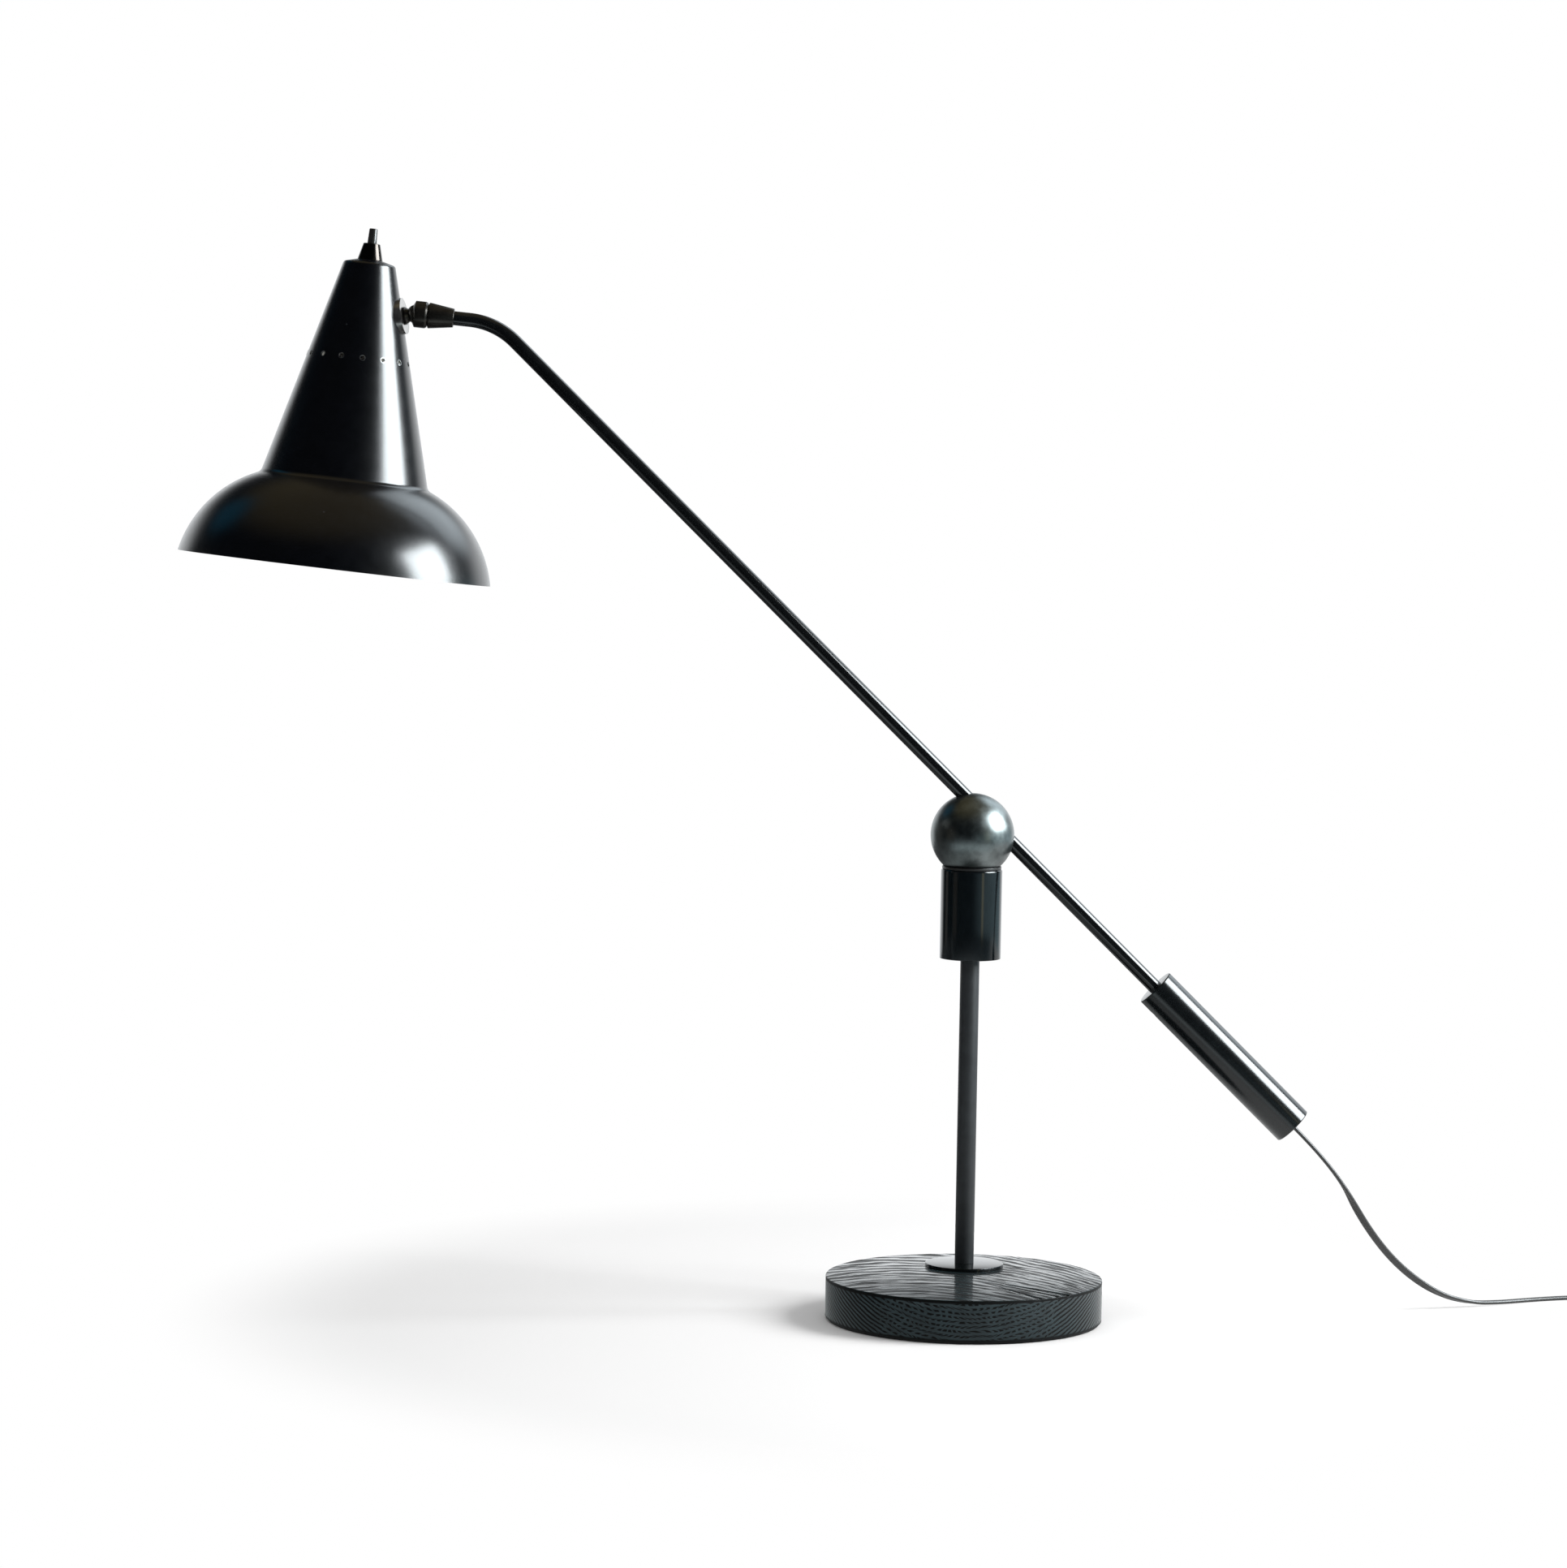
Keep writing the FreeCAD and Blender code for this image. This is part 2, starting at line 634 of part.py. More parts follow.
def swivel_socket():
    """Tapered socket on the arm's end, with a spigot for the collar."""
    edge = 0.5
    return moved(turned(
        (SOCKET_WIRE_HOLE, SPRING_FLOOR), (SPIGOT_BORE, SPRING_FLOOR),
        (SPIGOT_BORE, COLLAR_STEP + FIT), (SPIGOT_RADIUS, COLLAR_STEP + FIT),
        (SPIGOT_RADIUS, SOCKET_START), (SOCKET_RADIUS - edge, SOCKET_START),
        (SOCKET_RADIUS, SOCKET_START + 2 * edge),
        (SOCKET_END_RADIUS, SOCKET_END - edge), (SOCKET_END_RADIUS - edge, SOCKET_END),
        (ARM_RADIUS + FIT, SOCKET_END), (ARM_RADIUS + FIT, SOCKET_POCKET),
        (SOCKET_WIRE_HOLE, SOCKET_POCKET)), SOCKET_FRAME)


def swivel_collar():
    """Clamping collar, whose rounded lip holds the swivel's ball."""
    sphere = SWIVEL_BALL_RADIUS + SWIVEL_CLEARANCE
    face_radius = math.sqrt(sphere ** 2 - COLLAR_FACE ** 2)
    middle = COLLAR_FACE / 2
    return moved(turned(
        (face_radius, COLLAR_FACE), (COLLAR_FACE_RADIUS, COLLAR_FACE),
        (COLLAR_RADIUS, COLLAR_CHAMFER_END), (COLLAR_RADIUS, COLLAR_END - COLLAR_BEVEL_LENGTH),
        (COLLAR_RADIUS - COLLAR_BEVEL, COLLAR_END), (SPIGOT_RADIUS + FIT, COLLAR_END),
        (SPIGOT_RADIUS + FIT, COLLAR_STEP), (sphere, COLLAR_STEP), (sphere, 0),
        ((math.sqrt(sphere ** 2 - middle ** 2), middle), (face_radius, COLLAR_FACE))),
        SOCKET_FRAME)


def swivel_spring():
    """Spring washer that presses the seat on the ball."""
    return moved(ring(SOCKET_WIRE_HOLE, SPIGOT_BORE - 0.25, SWIVEL_SEAT_END + 0.1, SPRING_FLOOR),
                 SOCKET_FRAME)


def swivel_seat():
    """Cupped friction seat behind the swivel's ball."""
    sphere = SWIVEL_BALL_RADIUS + 0.1
    outer = SPIGOT_BORE - 0.12
    edge_radius = math.sqrt(sphere ** 2 - SWIVEL_SEAT_START ** 2)
    hole = SOCKET_WIRE_HOLE
    middle_radius = (edge_radius + hole) / 2
    return moved(turned(
        (hole, SWIVEL_SEAT_END), (outer, SWIVEL_SEAT_END), (outer, SWIVEL_SEAT_START),
        (edge_radius, SWIVEL_SEAT_START),
        ((middle_radius, sphere_height(middle_radius, sphere)),
         (hole, sphere_height(hole, sphere)))), SOCKET_FRAME)


def ball_stud():
    """Hollow ball, neck and threaded shank in one piece."""
    ball = SWIVEL_BALL_RADIUS
    mouth = -sphere_height(STUD_BORE, ball)
    neck_start = sphere_height(NECK_RADIUS, ball)
    groove = (STUD_FLARE_END + STUD_FACE) / 2
    stud = turned(
        (STUD_BORE, mouth), ((ball, 0), (NECK_RADIUS, neck_start)),
        (NECK_RADIUS, max(NECK_HEIGHT, neck_start) + FIT), (STUD_RADIUS, STUD_FLARE_END),
        (STUD_RADIUS, groove - 0.25), (STUD_RADIUS - 0.45, groove),
        (STUD_RADIUS, groove + 0.25), (STUD_RADIUS, STUD_FACE), (SHANK_RADIUS, STUD_FACE),
        (SHANK_RADIUS, SHANK_END), (STUD_BORE, SHANK_END))
    return moved(stud, STUD_FRAME)


def stud_nut():
    bottom = INNER_WASHER_FACE + SWIVEL_CLEARANCE
    nut = hexagon(STUD_NUT_FLATS, bottom, bottom + STUD_NUT_HEIGHT)
    return moved(nut.cut(rod(SHANK_RADIUS + FIT, 0, SHANK_END)), STUD_FRAME)


# ---------------------------------------------------------------- shade

def cone_solid(inset):
    """Full cone on the shade's axis, inset from its outer wall."""
    shift = inset / SIN_CONE
    height = BOWL_CENTRE_HEIGHT
    cone = Part.makeCone(0, (height - shift) * TAN_CONE, height - shift, vector(0, 0, shift))
    return moved(cone, SHADE_FRAME)


def shade_side(inset):
    """Wall line of the shade from the cap's edge to the rim, inset from the outside: the
    start of the crease, its middle, its end, the bowl's middle and the rim."""
    reach = BOWL_ROUND + CREASE_ROUND
    # The crease's centre lies CREASE_ROUND outside the cone and as far outside the bowl.
    slope = TAN_CONE
    base = CREASE_ROUND / COS_CONE - BOWL_CENTRE_RADIUS
    a = 1 + slope ** 2
    b = 2 * (slope * base - BOWL_CENTRE_HEIGHT)
    c = BOWL_CENTRE_HEIGHT ** 2 + base ** 2 - reach ** 2
    height = (-b - math.sqrt(b * b - 4 * a * c)) / (2 * a)
    centre = vector(slope * height + CREASE_ROUND / COS_CONE, 0, height)
    bowl = vector(BOWL_CENTRE_RADIUS, 0, BOWL_CENTRE_HEIGHT)
    to_cone = vector(-COS_CONE, 0, SIN_CONE)
    to_bowl = unit(bowl - centre)
    crease = CREASE_ROUND + inset
    rim_angle = math.acos((BOWL_CENTRE_HEIGHT - RIM_HEIGHT) / (BOWL_ROUND - inset))
    start_angle = math.acos(-to_bowl.z * -1)
    middle_angle = (rim_angle + start_angle) / 2

    def on_bowl(angle):
        radius = BOWL_ROUND - inset
        return (bowl.x + radius * math.sin(angle), bowl.z - radius * math.cos(angle))

    def on_crease(way):
        return (centre.x + way.x * crease, centre.z + way.z * crease)

    return (on_crease(to_cone), on_crease(unit(to_cone + to_bowl)), on_crease(to_bowl),
            on_bowl(middle_angle), on_bowl(rim_angle))


def spun_shell():
    """Cap, cone and bowl as one sheet, with a ring of vent holes."""
    crease_start, crease_middle, crease_end, bowl_middle, rim = shade_side(0)
    in_start, in_middle, in_end, in_bowl, in_rim = shade_side(SHELL)
    shoulder = (SHOULDER_END * TAN_CONE, SHOULDER_END)
    inner_shoulder = (SHOULDER_END * TAN_CONE - SHELL / COS_CONE, SHOULDER_END)
    shell = turned(
        (SWITCH_NECK_RADIUS + FIT, CAP_HEIGHT), (CAP_FLAT_RADIUS, CAP_HEIGHT),
        (CAP_EDGE_RADIUS, CAP_EDGE_HEIGHT), (SHOULDER_MIDDLE, shoulder),
        crease_start, (crease_middle, crease_end), (bowl_middle, rim),
        in_rim, (in_bowl, in_end), (in_middle, in_start), inner_shoulder,
        (CAP_EDGE_RADIUS - SHELL / 2, CAP_EDGE_HEIGHT + SHELL),
        (CAP_FLAT_RADIUS, CAP_HEIGHT + SHELL), (SWITCH_NECK_RADIUS + FIT, CAP_HEIGHT + SHELL))
    shell = moved(shell, SHADE_FRAME)
    vent_radius = VENT_HEIGHT * TAN_CONE
    for number in range(VENT_COUNT):
        angle = math.radians(FULL_TURN / VENT_COUNT * number)
        out = SHADE_OUT * math.cos(angle) + SHADE_UP.cross(SHADE_OUT) * math.sin(angle)
        point = SHADE_APEX - SHADE_UP * VENT_HEIGHT + out * vent_radius
        way = out * COS_CONE + SHADE_UP * SIN_CONE
        hole = moved(rod(VENT_RADIUS, -OVERRUN, OVERRUN), frame(point, way, SHADE_UP))
        shell = shell.cut(hole)
    return shell.cut(moved(rod(SHANK_RADIUS + SWIVEL_CLEARANCE, 0, SHANK_END), STUD_FRAME))


def shell_band(start, end):
    """Part of the shell between two heights on its axis."""
    reach = BOWL_CENTRE_RADIUS + BOWL_ROUND + OVERRUN
    return spun_shell().common(moved(rod(reach, start, end), SHADE_FRAME))


def shade_cone():
    return shell_band(CAP_HEIGHT - OVERRUN, CONE_END)


def shade_bowl():
    """Crease and upper bowl."""
    return shell_band(CONE_END, BOWL_END)


def shade_rim():
    """Lower band of the bowl, down to the rim."""
    return shell_band(BOWL_END, RIM_HEIGHT + OVERRUN)


def saddle_washer():
    """Round washer with a flat face, hollowed to sit on the shade's cone."""
    disc = moved(ring(SHANK_RADIUS + SWIVEL_CLEARANCE, WASHER_RADIUS, WASHER_FACE,
                      WALL_DISTANCE + OVERRUN), STUD_FRAME)
    return disc.cut(cone_solid(0))


def inner_washer():
    """Its partner inside, rounded to fit the wall."""
    disc = moved(ring(SHANK_RADIUS + SWIVEL_CLEARANCE, INNER_WASHER_RADIUS, WASHER_FACE,
                      INNER_WASHER_FACE), STUD_FRAME)
    return disc.common(cone_solid(SHELL))


# ---------------------------------------------------------------- switch and lampholder

def switch_ferrule():
    """Tapered nut on the switch's neck, over the cap."""
    edge = 0.4
    return moved(turned(
        (SWITCH_NECK_RADIUS + FIT, CAP_HEIGHT), (FERRULE_BASE_RADIUS, CAP_HEIGHT),
        (FERRULE_TOP_RADIUS + edge / 2, FERRULE_TOP + edge),
        (FERRULE_TOP_RADIUS - edge, FERRULE_TOP), (PLUNGER_GUIDE, FERRULE_TOP),
        (PLUNGER_GUIDE, FERRULE_TOP + 1.6), (SWITCH_NECK_RADIUS + FIT, FERRULE_TOP + 1.6)),
        SHADE_FRAME)


def switch_washer():
    return moved(ring(SWITCH_NECK_RADIUS + FIT, SWITCH_WASHER_RADIUS, CAP_HEIGHT + SHELL,
                      BRACKET_TOP), SHADE_FRAME)


def switch_body():
    """Push switch: threaded neck through the cap and a round body under it."""
    neck_top = FERRULE_TOP + 1.6
    start = BRACKET_TOP + BRACKET_SHEET
    return moved(turned(
        (PLUNGER_GUIDE, neck_top), (SWITCH_NECK_RADIUS, neck_top),
        (SWITCH_NECK_RADIUS, start), (SWITCH_RADIUS, start),
        (SWITCH_RADIUS, SWITCH_END - 1), (SWITCH_RADIUS - 1, SWITCH_END), (0, SWITCH_END),
        (0, PLUNGER_SHAFT_END + 4), (PLUNGER_GUIDE, PLUNGER_SHAFT_END + 4)), SHADE_FRAME)


def switch_plunger():
    """Push button, tapered a little to a rounded tip."""
    return moved(turned(
        (0, PLUNGER_TOP), (PLUNGER_TIP_RADIUS - 0.6, PLUNGER_TOP),
        ((PLUNGER_TIP_RADIUS - 0.15, PLUNGER_TOP + 0.2), (PLUNGER_TIP_RADIUS, PLUNGER_TOP + 0.8)),
        (PLUNGER_RADIUS, FERRULE_TOP - 0.5), (PLUNGER_RADIUS, PLUNGER_END),
        (PLUNGER_RADIUS - 0.6, PLUNGER_END), (PLUNGER_RADIUS - 0.6, PLUNGER_SHAFT_END),
        (0, PLUNGER_SHAFT_END)), SHADE_FRAME)


def lampholder_bracket():
    """Sheet strap from under the cap, round the switch, to the lampholder."""
    half = BRACKET_HALF_WIDTH
    reach = BRACKET_REACH
    outside = block((-half, -reach, BRACKET_TOP), (half, reach, BRACKET_BOTTOM))
    inside = block((-half, -reach + BRACKET_SHEET, BRACKET_TOP + BRACKET_SHEET),
                   (half, reach - BRACKET_SHEET, BRACKET_BOTTOM - BRACKET_SHEET))
    strap = outside.cut(inside)
    strap = strap.cut(rod(SWITCH_NECK_RADIUS + FIT, BRACKET_TOP - 1, BRACKET_TOP + 2))
    strap = strap.cut(rod(SWITCH_NECK_RADIUS / 2, BRACKET_BOTTOM - 2, BRACKET_BOTTOM + 1))
    return moved(strap, SHADE_FRAME)


def lampholder_nipple():
    """Short hollow screw that hangs the lampholder on its bracket, with its head on top."""
    hole = SWITCH_NECK_RADIUS / 2 - FIT
    shelf = BRACKET_BOTTOM - BRACKET_SHEET
    return moved(turned(
        (hole - 0.9, NIPPLE_TOP), (HOLDER_TOP_RADIUS / 2, NIPPLE_TOP),
        (HOLDER_TOP_RADIUS / 2, shelf), (hole, shelf), (hole, NIPPLE_END),
        (hole - 0.9, NIPPLE_END)), SHADE_FRAME)


def lampholder_cap():
    """Domed upper half of the lampholder."""
    hole = SWITCH_NECK_RADIUS / 2
    wall = HOLDER_WALL
    return moved(turned(
        (hole, BRACKET_BOTTOM), (HOLDER_TOP_RADIUS, BRACKET_BOTTOM),
        ((HOLDER_RADIUS - 1.8, BRACKET_BOTTOM + 2.6), (HOLDER_RADIUS, HOLDER_SHOULDER)),
        (HOLDER_RADIUS, HOLDER_SEAM), (HOLDER_RADIUS - wall, HOLDER_SEAM),
        (HOLDER_RADIUS - wall, HOLDER_SHOULDER),
        (HOLDER_TOP_RADIUS - 1, BRACKET_BOTTOM + 2 * wall), (hole, BRACKET_BOTTOM + 2 * wall)),
        SHADE_FRAME)


def lampholder_skirt():
    """Lower half, a plain sleeve round the bulb's neck."""
    edge = 0.5
    return moved(turned(
        (HOLDER_RADIUS - HOLDER_WALL, HOLDER_SEAM), (HOLDER_RADIUS, HOLDER_SEAM),
        (HOLDER_RADIUS, HOLDER_END - edge), (HOLDER_RADIUS - edge, HOLDER_END),
        (HOLDER_RADIUS - HOLDER_WALL, HOLDER_END)), SHADE_FRAME)


def lampholder_insert():
    """Insulating insert that carries the contacts."""
    hole = THREAD_SHELL_RADIUS + THREAD_SHELL_WALL
    outer = HOLDER_RADIUS - HOLDER_WALL - FIT
    start = HOLDER_SEAM - 4
    return moved(turned(
        (0, start), (outer, start), (outer, INSERT_END), (hole, INSERT_END),
        (hole, CONTACT_HEIGHT - 1.5), (0, CONTACT_HEIGHT - 1.5)), SHADE_FRAME)


def thread_shell():
    """Thin metal screw sleeve that takes the bulb's cap."""
    return moved(ring(THREAD_SHELL_RADIUS, THREAD_SHELL_RADIUS + THREAD_SHELL_WALL - FIT,
                      THREAD_SHELL_START, THREAD_SHELL_END), SHADE_FRAME)


def centre_contact():
    return moved(turned((0, CONTACT_HEIGHT - 1.5), (3.0, CONTACT_HEIGHT - 1.5),
                        (3.0, CONTACT_HEIGHT - 0.9), (1.6, CONTACT_HEIGHT),
                        (0, CONTACT_HEIGHT)), SHADE_FRAME)


def shade_wires():
    """Three single wires: stud to switch, switch to lampholder, stud to lampholder."""
    shank = vector(COS_CONE, 0, SIN_CONE) * (SHANK_END - WALL_DISTANCE)
    mouth_radius = SWIVEL_HEIGHT * TAN_CONE - shank.x - WIRE_GAP
    mouth = SWIVEL_HEIGHT + shank.z
    holder = HOLDER_RADIUS + WIRE_GAP
    switch = SWITCH_END + WIRE_GAP
    routes = (
        ((mouth_radius, 1.0, mouth), (16.0, 1.0, mouth + 0.9), (15.2, 1.5, 86.5),
         (5.5, 2.5, 88.0), (5.0, 2.5, 86.8), (5.0, 2.5, switch)),
        ((-5.0, 2.0, switch), (-5.0, 2.0, 86.8), (-16.8, 5.0, 88.5), (-17.6, 3.0, 104.0),
         (-17.4, 2.0, 106.0), (-holder, 2.0, 106.0)),
        ((mouth_radius, -1.0, mouth), (16.3, -1.2, mouth + 1.5), (17.4, -3.0, 105.0),
         (17.4, -2.0, 107.0), (holder, -2.0, 107.0)),
    )
    wires = []
    for route in routes:
        edges = rounded_path([vector(*point) for point in route])
        wires.append(moved(tube(edges, WIRE_RADIUS), SHADE_FRAME))
    return Part.makeCompound(wires)


# ---------------------------------------------------------------- bulb

def on_bulb(radius, degrees):
    """Point of the bulb's round outline, by its angle from the side of the cap."""
    angle = math.radians(degrees)
    return (radius * math.sin(angle), BULB_CENTRE - radius * math.cos(angle))


def bulb_glass():
    """Round glass, open at its neck, where the cap is fixed."""
    outer = BULB_RADIUS
    inner = BULB_RADIUS - BULB_GLASS
    fixed = BULB_CAP_RADIUS - BULB_CAP_SHEET - FIT
    return moved(turned(
        (BULB_CAP_RADIUS, BULB_CAP_END), (BULB_NECK_RADIUS, BULB_CAP_END + 1.5),
        on_bulb(outer, 40), (on_bulb(outer, 90), on_bulb(outer, 135)),
        (on_bulb(outer, 160), on_bulb(outer, 180)), on_bulb(inner, 180),
        (on_bulb(inner, 160), on_bulb(inner, 135)), (on_bulb(inner, 90), on_bulb(inner, 40)),
        (BULB_NECK_RADIUS - 1.8, BULB_CAP_END + 2.0), (fixed - BULB_GLASS, BULB_CAP_END - 2.0),
        (fixed, BULB_CAP_END - 2.0), (fixed, BULB_CAP_END)), SHADE_FRAME)


def bulb_cap():
    """Screw cap with its insulating foot."""
    inner = BULB_CAP_RADIUS - BULB_CAP_SHEET
    return moved(turned(
        (0, BULB_CAP_START), (4.2, BULB_CAP_START), (BULB_CAP_RADIUS - 0.4, BULB_CAP_START + 2.2),
        (BULB_CAP_RADIUS, BULB_CAP_START + 2.6), (BULB_CAP_RADIUS, BULB_CAP_END), (inner, BULB_CAP_END),
        (inner, BULB_CAP_START + 3.4), (0, BULB_CAP_START + 3.4)), SHADE_FRAME)


def bulb_contact():
    return moved(turned((0, BULB_TIP), (1.2, BULB_TIP + 0.2), (2.4, BULB_CAP_START),
                        (0, BULB_CAP_START)), SHADE_FRAME)


# ---------------------------------------------------------------- lead, coil and plug

def cord_start():
    return ARM_FOOT + ARM_DOWN * (WEIGHT_END + BUSH_LIP + CORD_GAP)


def cord_stretch():
    """Free stretch of the lead, from the bush to the coil."""
    points = [cord_start()]
    points += [vector(*point) for point in CORD_ROUTE]
    points.append(coil_point(0) - round_way(0) * COIL_LEAD)
    edges = rounded_path(points, "cord stretch")
    solid = tube(edges, CORD_RADIUS)
    length = sum(edge.Length for edge in edges)
    print("cord stretch length %.1f mm, volume / (section x length) = %.5f"
          % (length, solid.Volume / (math.pi * CORD_RADIUS ** 2 * length)))
    return solid, length


def coil_point(turns):
    """Centre of the coiled lead after a number of turns, and its direction there."""
    last = 2 * COIL_TURNS_PER_LAYER
    rise = PLUG_AXIS_HEIGHT - COIL_BOTTOM - COIL_PITCH
    if turns <= last:
        inward = COIL_TURNS_PER_LAYER - abs(turns - COIL_TURNS_PER_LAYER)
        radius = COIL_RADIUS - COIL_PITCH * inward
        climb = min(max((turns - COIL_TURNS_PER_LAYER) * 2 + 0.5, 0.0), 1.0)
        height = COIL_BOTTOM + COIL_PITCH * climb
    else:
        out = (turns - last) * 4
        radius = COIL_RADIUS + COIL_EXIT_STEP * out
        height = COIL_BOTTOM + COIL_PITCH + rise * out
    angle = math.radians(90 - FULL_TURN * turns)
    return vector(COIL_X + radius * math.cos(angle), COIL_Y + radius * math.sin(angle), height)


def round_way(turns):
    """Direction of the lead in the coil, square to the coil's radius."""
    angle = math.radians(-FULL_TURN * turns)
    return vector(math.cos(angle), math.sin(angle), 0)


def biarc(start, start_way, end, end_way):
    """Two tangent arcs between two points with given directions."""
    chord = end - start
    both = start_way + end_way
    facing = 2 * (1 - start_way.dot(end_way))
    reach = (-chord.dot(both) + math.sqrt(chord.dot(both) ** 2 + facing * chord.dot(chord))) / facing
    first = start + start_way * reach
    second = end - end_way * reach
    joint = (first + second) * 0.5
    edges = []
    for here, corner, there in ((start, first, joint), (joint, second, end)):
        half_turn = unit(corner - here).getAngle(unit(there - corner)) / 2
        weight = math.cos(half_turn)
        middle = (here + corner * (2 * weight) + there) * (1 / (2 + 2 * weight))
        edges.append(arc(here, middle, there))
    return edges


def coil_edges():
    """Centre line of the coil: biarcs of a quarter turn between straight ends."""
    quarters = 8 * COIL_TURNS_PER_LAYER + 1
    edges = [line(coil_point(0) - round_way(0) * COIL_LEAD, coil_point(0))]
    for number in range(quarters):
        start = number / 4
        end = (number + 1) / 4
        edges += biarc(coil_point(start), round_way(start), coil_point(end), round_way(end))
    last = coil_point(quarters / 4)
    way = round_way(quarters / 4)
    edges.append(line(last, last + way * COIL_TAIL))
    return edges


def least_gap(edges, radius):
    """Least distance between turns of a tube, measured on points of its centre line."""
    step = 1.0
    points = []
    along = 0.0
    for edge in edges:
        count = max(2, int(edge.Length / step))
        for point in edge.discretize(count)[:-1]:
            points.append((along, point))
            along += edge.Length / (count - 1)
    nearest = 1e9
    skip = 10 * radius
    for number, (place, point) in enumerate(points):
        for other_place, other in points[number + 1:]:
            if other_place - place > skip:
                nearest = min(nearest, point.distanceToPoint(other))
    return nearest - 2 * radius


def cord_coil():
    """Put-away part of the lead, one unbroken tube."""
    edges = coil_edges()
    solid = tube(edges, CORD_RADIUS)
    length = sum(edge.Length for edge in edges)
    print("coil length %.1f mm, least gap to itself %.2f mm, volume ratio %.5f" % (
        length, least_gap(edges, CORD_RADIUS),
        solid.Volume / (math.pi * CORD_RADIUS ** 2 * length)))
    return solid, length


def coil_tie():
    """Strap round all the turns, at the front of the coil."""
    middle = COIL_RADIUS - COIL_PITCH / 2
    inner = middle - COIL_PITCH * (COIL_TURNS_PER_LAYER - 1)
    room = CORD_RADIUS + TIE_GAP
    low = (COIL_X - TIE_WIDTH / 2, COIL_Y - middle - room - 0.6, COIL_BOTTOM - room)
    high = (COIL_X + TIE_WIDTH / 2, COIL_Y - inner + room + 0.3, COIL_BOTTOM + COIL_PITCH + room)
    inside = block(low, high)
    outside = block([low[0]] + [v - TIE_SHEET for v in low[1:]],
                    [high[0]] + [v + TIE_SHEET for v in high[1:]])
    return outside.cut(inside)


def plug_frame():
    """At the lead's end, with Z towards the pins and X across the plug."""
    quarters = 8 * COIL_TURNS_PER_LAYER + 1
    end = coil_point(quarters / 4) + round_way(quarters / 4) * COIL_TAIL
    return frame(end, round_way(quarters / 4), vector(1, 0, 0))


def plug_relief():
    """Tapered strain relief at the back of the plug."""
    return moved(turned((0, 0), (RELIEF_START_RADIUS, 0), (RELIEF_END_RADIUS, RELIEF_LENGTH),
                        (0, RELIEF_LENGTH)), plug_frame())


def plug_body():
    """Flat body, narrow at the lead and wide at the pins."""
    back = PLUG_BACK_WIDTH / 2
    front = PLUG_FRONT_WIDTH / 2
    start = RELIEF_LENGTH
    end = RELIEF_LENGTH + PLUG_LENGTH
    thick = PLUG_HALF_THICKNESS
    outline = ((-back, start), (back, start), (front, end - PLUG_LENGTH * 0.45), (front, end),
               (-front, end), (-front, end - PLUG_LENGTH * 0.45))
    corners = [vector(x, -thick, z) for x, z in outline]
    corners.append(corners[0])
    body = Part.Face(Part.makePolygon(corners)).extrude(vector(0, 2 * thick, 0))
    upright_edges = []
    for edge in body.Edges:
        ends = edge.Vertexes
        if abs(abs(ends[0].Y - ends[1].Y) - 2 * thick) < FIT:
            upright_edges.append(edge)
    return moved(body.makeFillet(PLUG_CORNER, upright_edges), plug_frame())


def plug_pins():
    """Two round pins, with sleeves over their roots."""
    start = RELIEF_LENGTH + PLUG_LENGTH
    pin = turned(
        (0, start), (PIN_RADIUS - PIN_SLEEVE_STEP, start),
        (PIN_RADIUS - PIN_SLEEVE_STEP, start + PIN_SLEEVE_LENGTH),
        (PIN_RADIUS, start + PIN_SLEEVE_LENGTH), (PIN_RADIUS, start + PIN_LENGTH - PIN_RADIUS),
        ((PIN_RADIUS * math.sqrt(0.5), start + PIN_LENGTH - PIN_RADIUS * (1 - math.sqrt(0.5))),
         (0, start + PIN_LENGTH)))
    pins = []
    for side in (-0.5, 0.5):
        place = FreeCAD.Placement(vector(side * PIN_SPACING, 0, 0), FreeCAD.Rotation())
        pins.append(moved(moved(pin, place), plug_frame()))
    return Part.makeCompound(pins)


# ---------------------------------------------------------------- all pieces

def all_parts():
    stretch, stretch_length = cord_stretch()
    coil, coil_length = cord_coil()
    print("whole lead outside the lamp %.0f mm" % (stretch_length + coil_length))
    makers = (
        base_pad, wooden_base, ballast_plate, ballast_screws, flange_plate, stem_tube,
        tie_rod, rod_nut, lock_washer, cup_housing, magnet_pot, ring_magnet, magnet_screw,
        ball_seat, pivot_ball, arm_tube, inner_cord, counterweight_shell, counterweight_core,
        counterweight_cap, counterweight_screw, cord_bush, swivel_socket, swivel_collar,
        swivel_spring, swivel_seat, ball_stud, stud_nut, shade_cone, shade_bowl, shade_rim,
        saddle_washer, inner_washer, switch_ferrule, switch_washer, switch_body, switch_plunger,
        lampholder_bracket, lampholder_nipple, lampholder_cap, lampholder_skirt,
        lampholder_insert, thread_shell, centre_contact, shade_wires, bulb_glass, bulb_cap,
        bulb_contact, coil_tie, plug_relief, plug_body, plug_pins,
    )
    parts = {maker.__name__: maker() for maker in makers}
    parts["cord_stretch"] = stretch
    parts["cord_coil"] = coil
    return parts


def main():
    os.makedirs("parts", exist_ok=True)
    for name, shape in all_parts().items():
        if not shape.isValid():
            print("not valid:", name)
        shape.exportStep("parts/" + name + ".step")
    for name, point in (("ball", BALL), ("arm foot", ARM_FOOT), ("arm down", ARM_DOWN),
                        ("swivel", SWIVEL), ("socket way", END_DOWN), ("stud way", WALL_OUT),
                        ("shade apex", SHADE_APEX), ("shade up", SHADE_UP),
                        ("shade out", SHADE_OUT), ("cord start", cord_start())):
        print("%-11s %9.4f %9.4f %9.4f" % (name, point.x, point.y, point.z))


main()
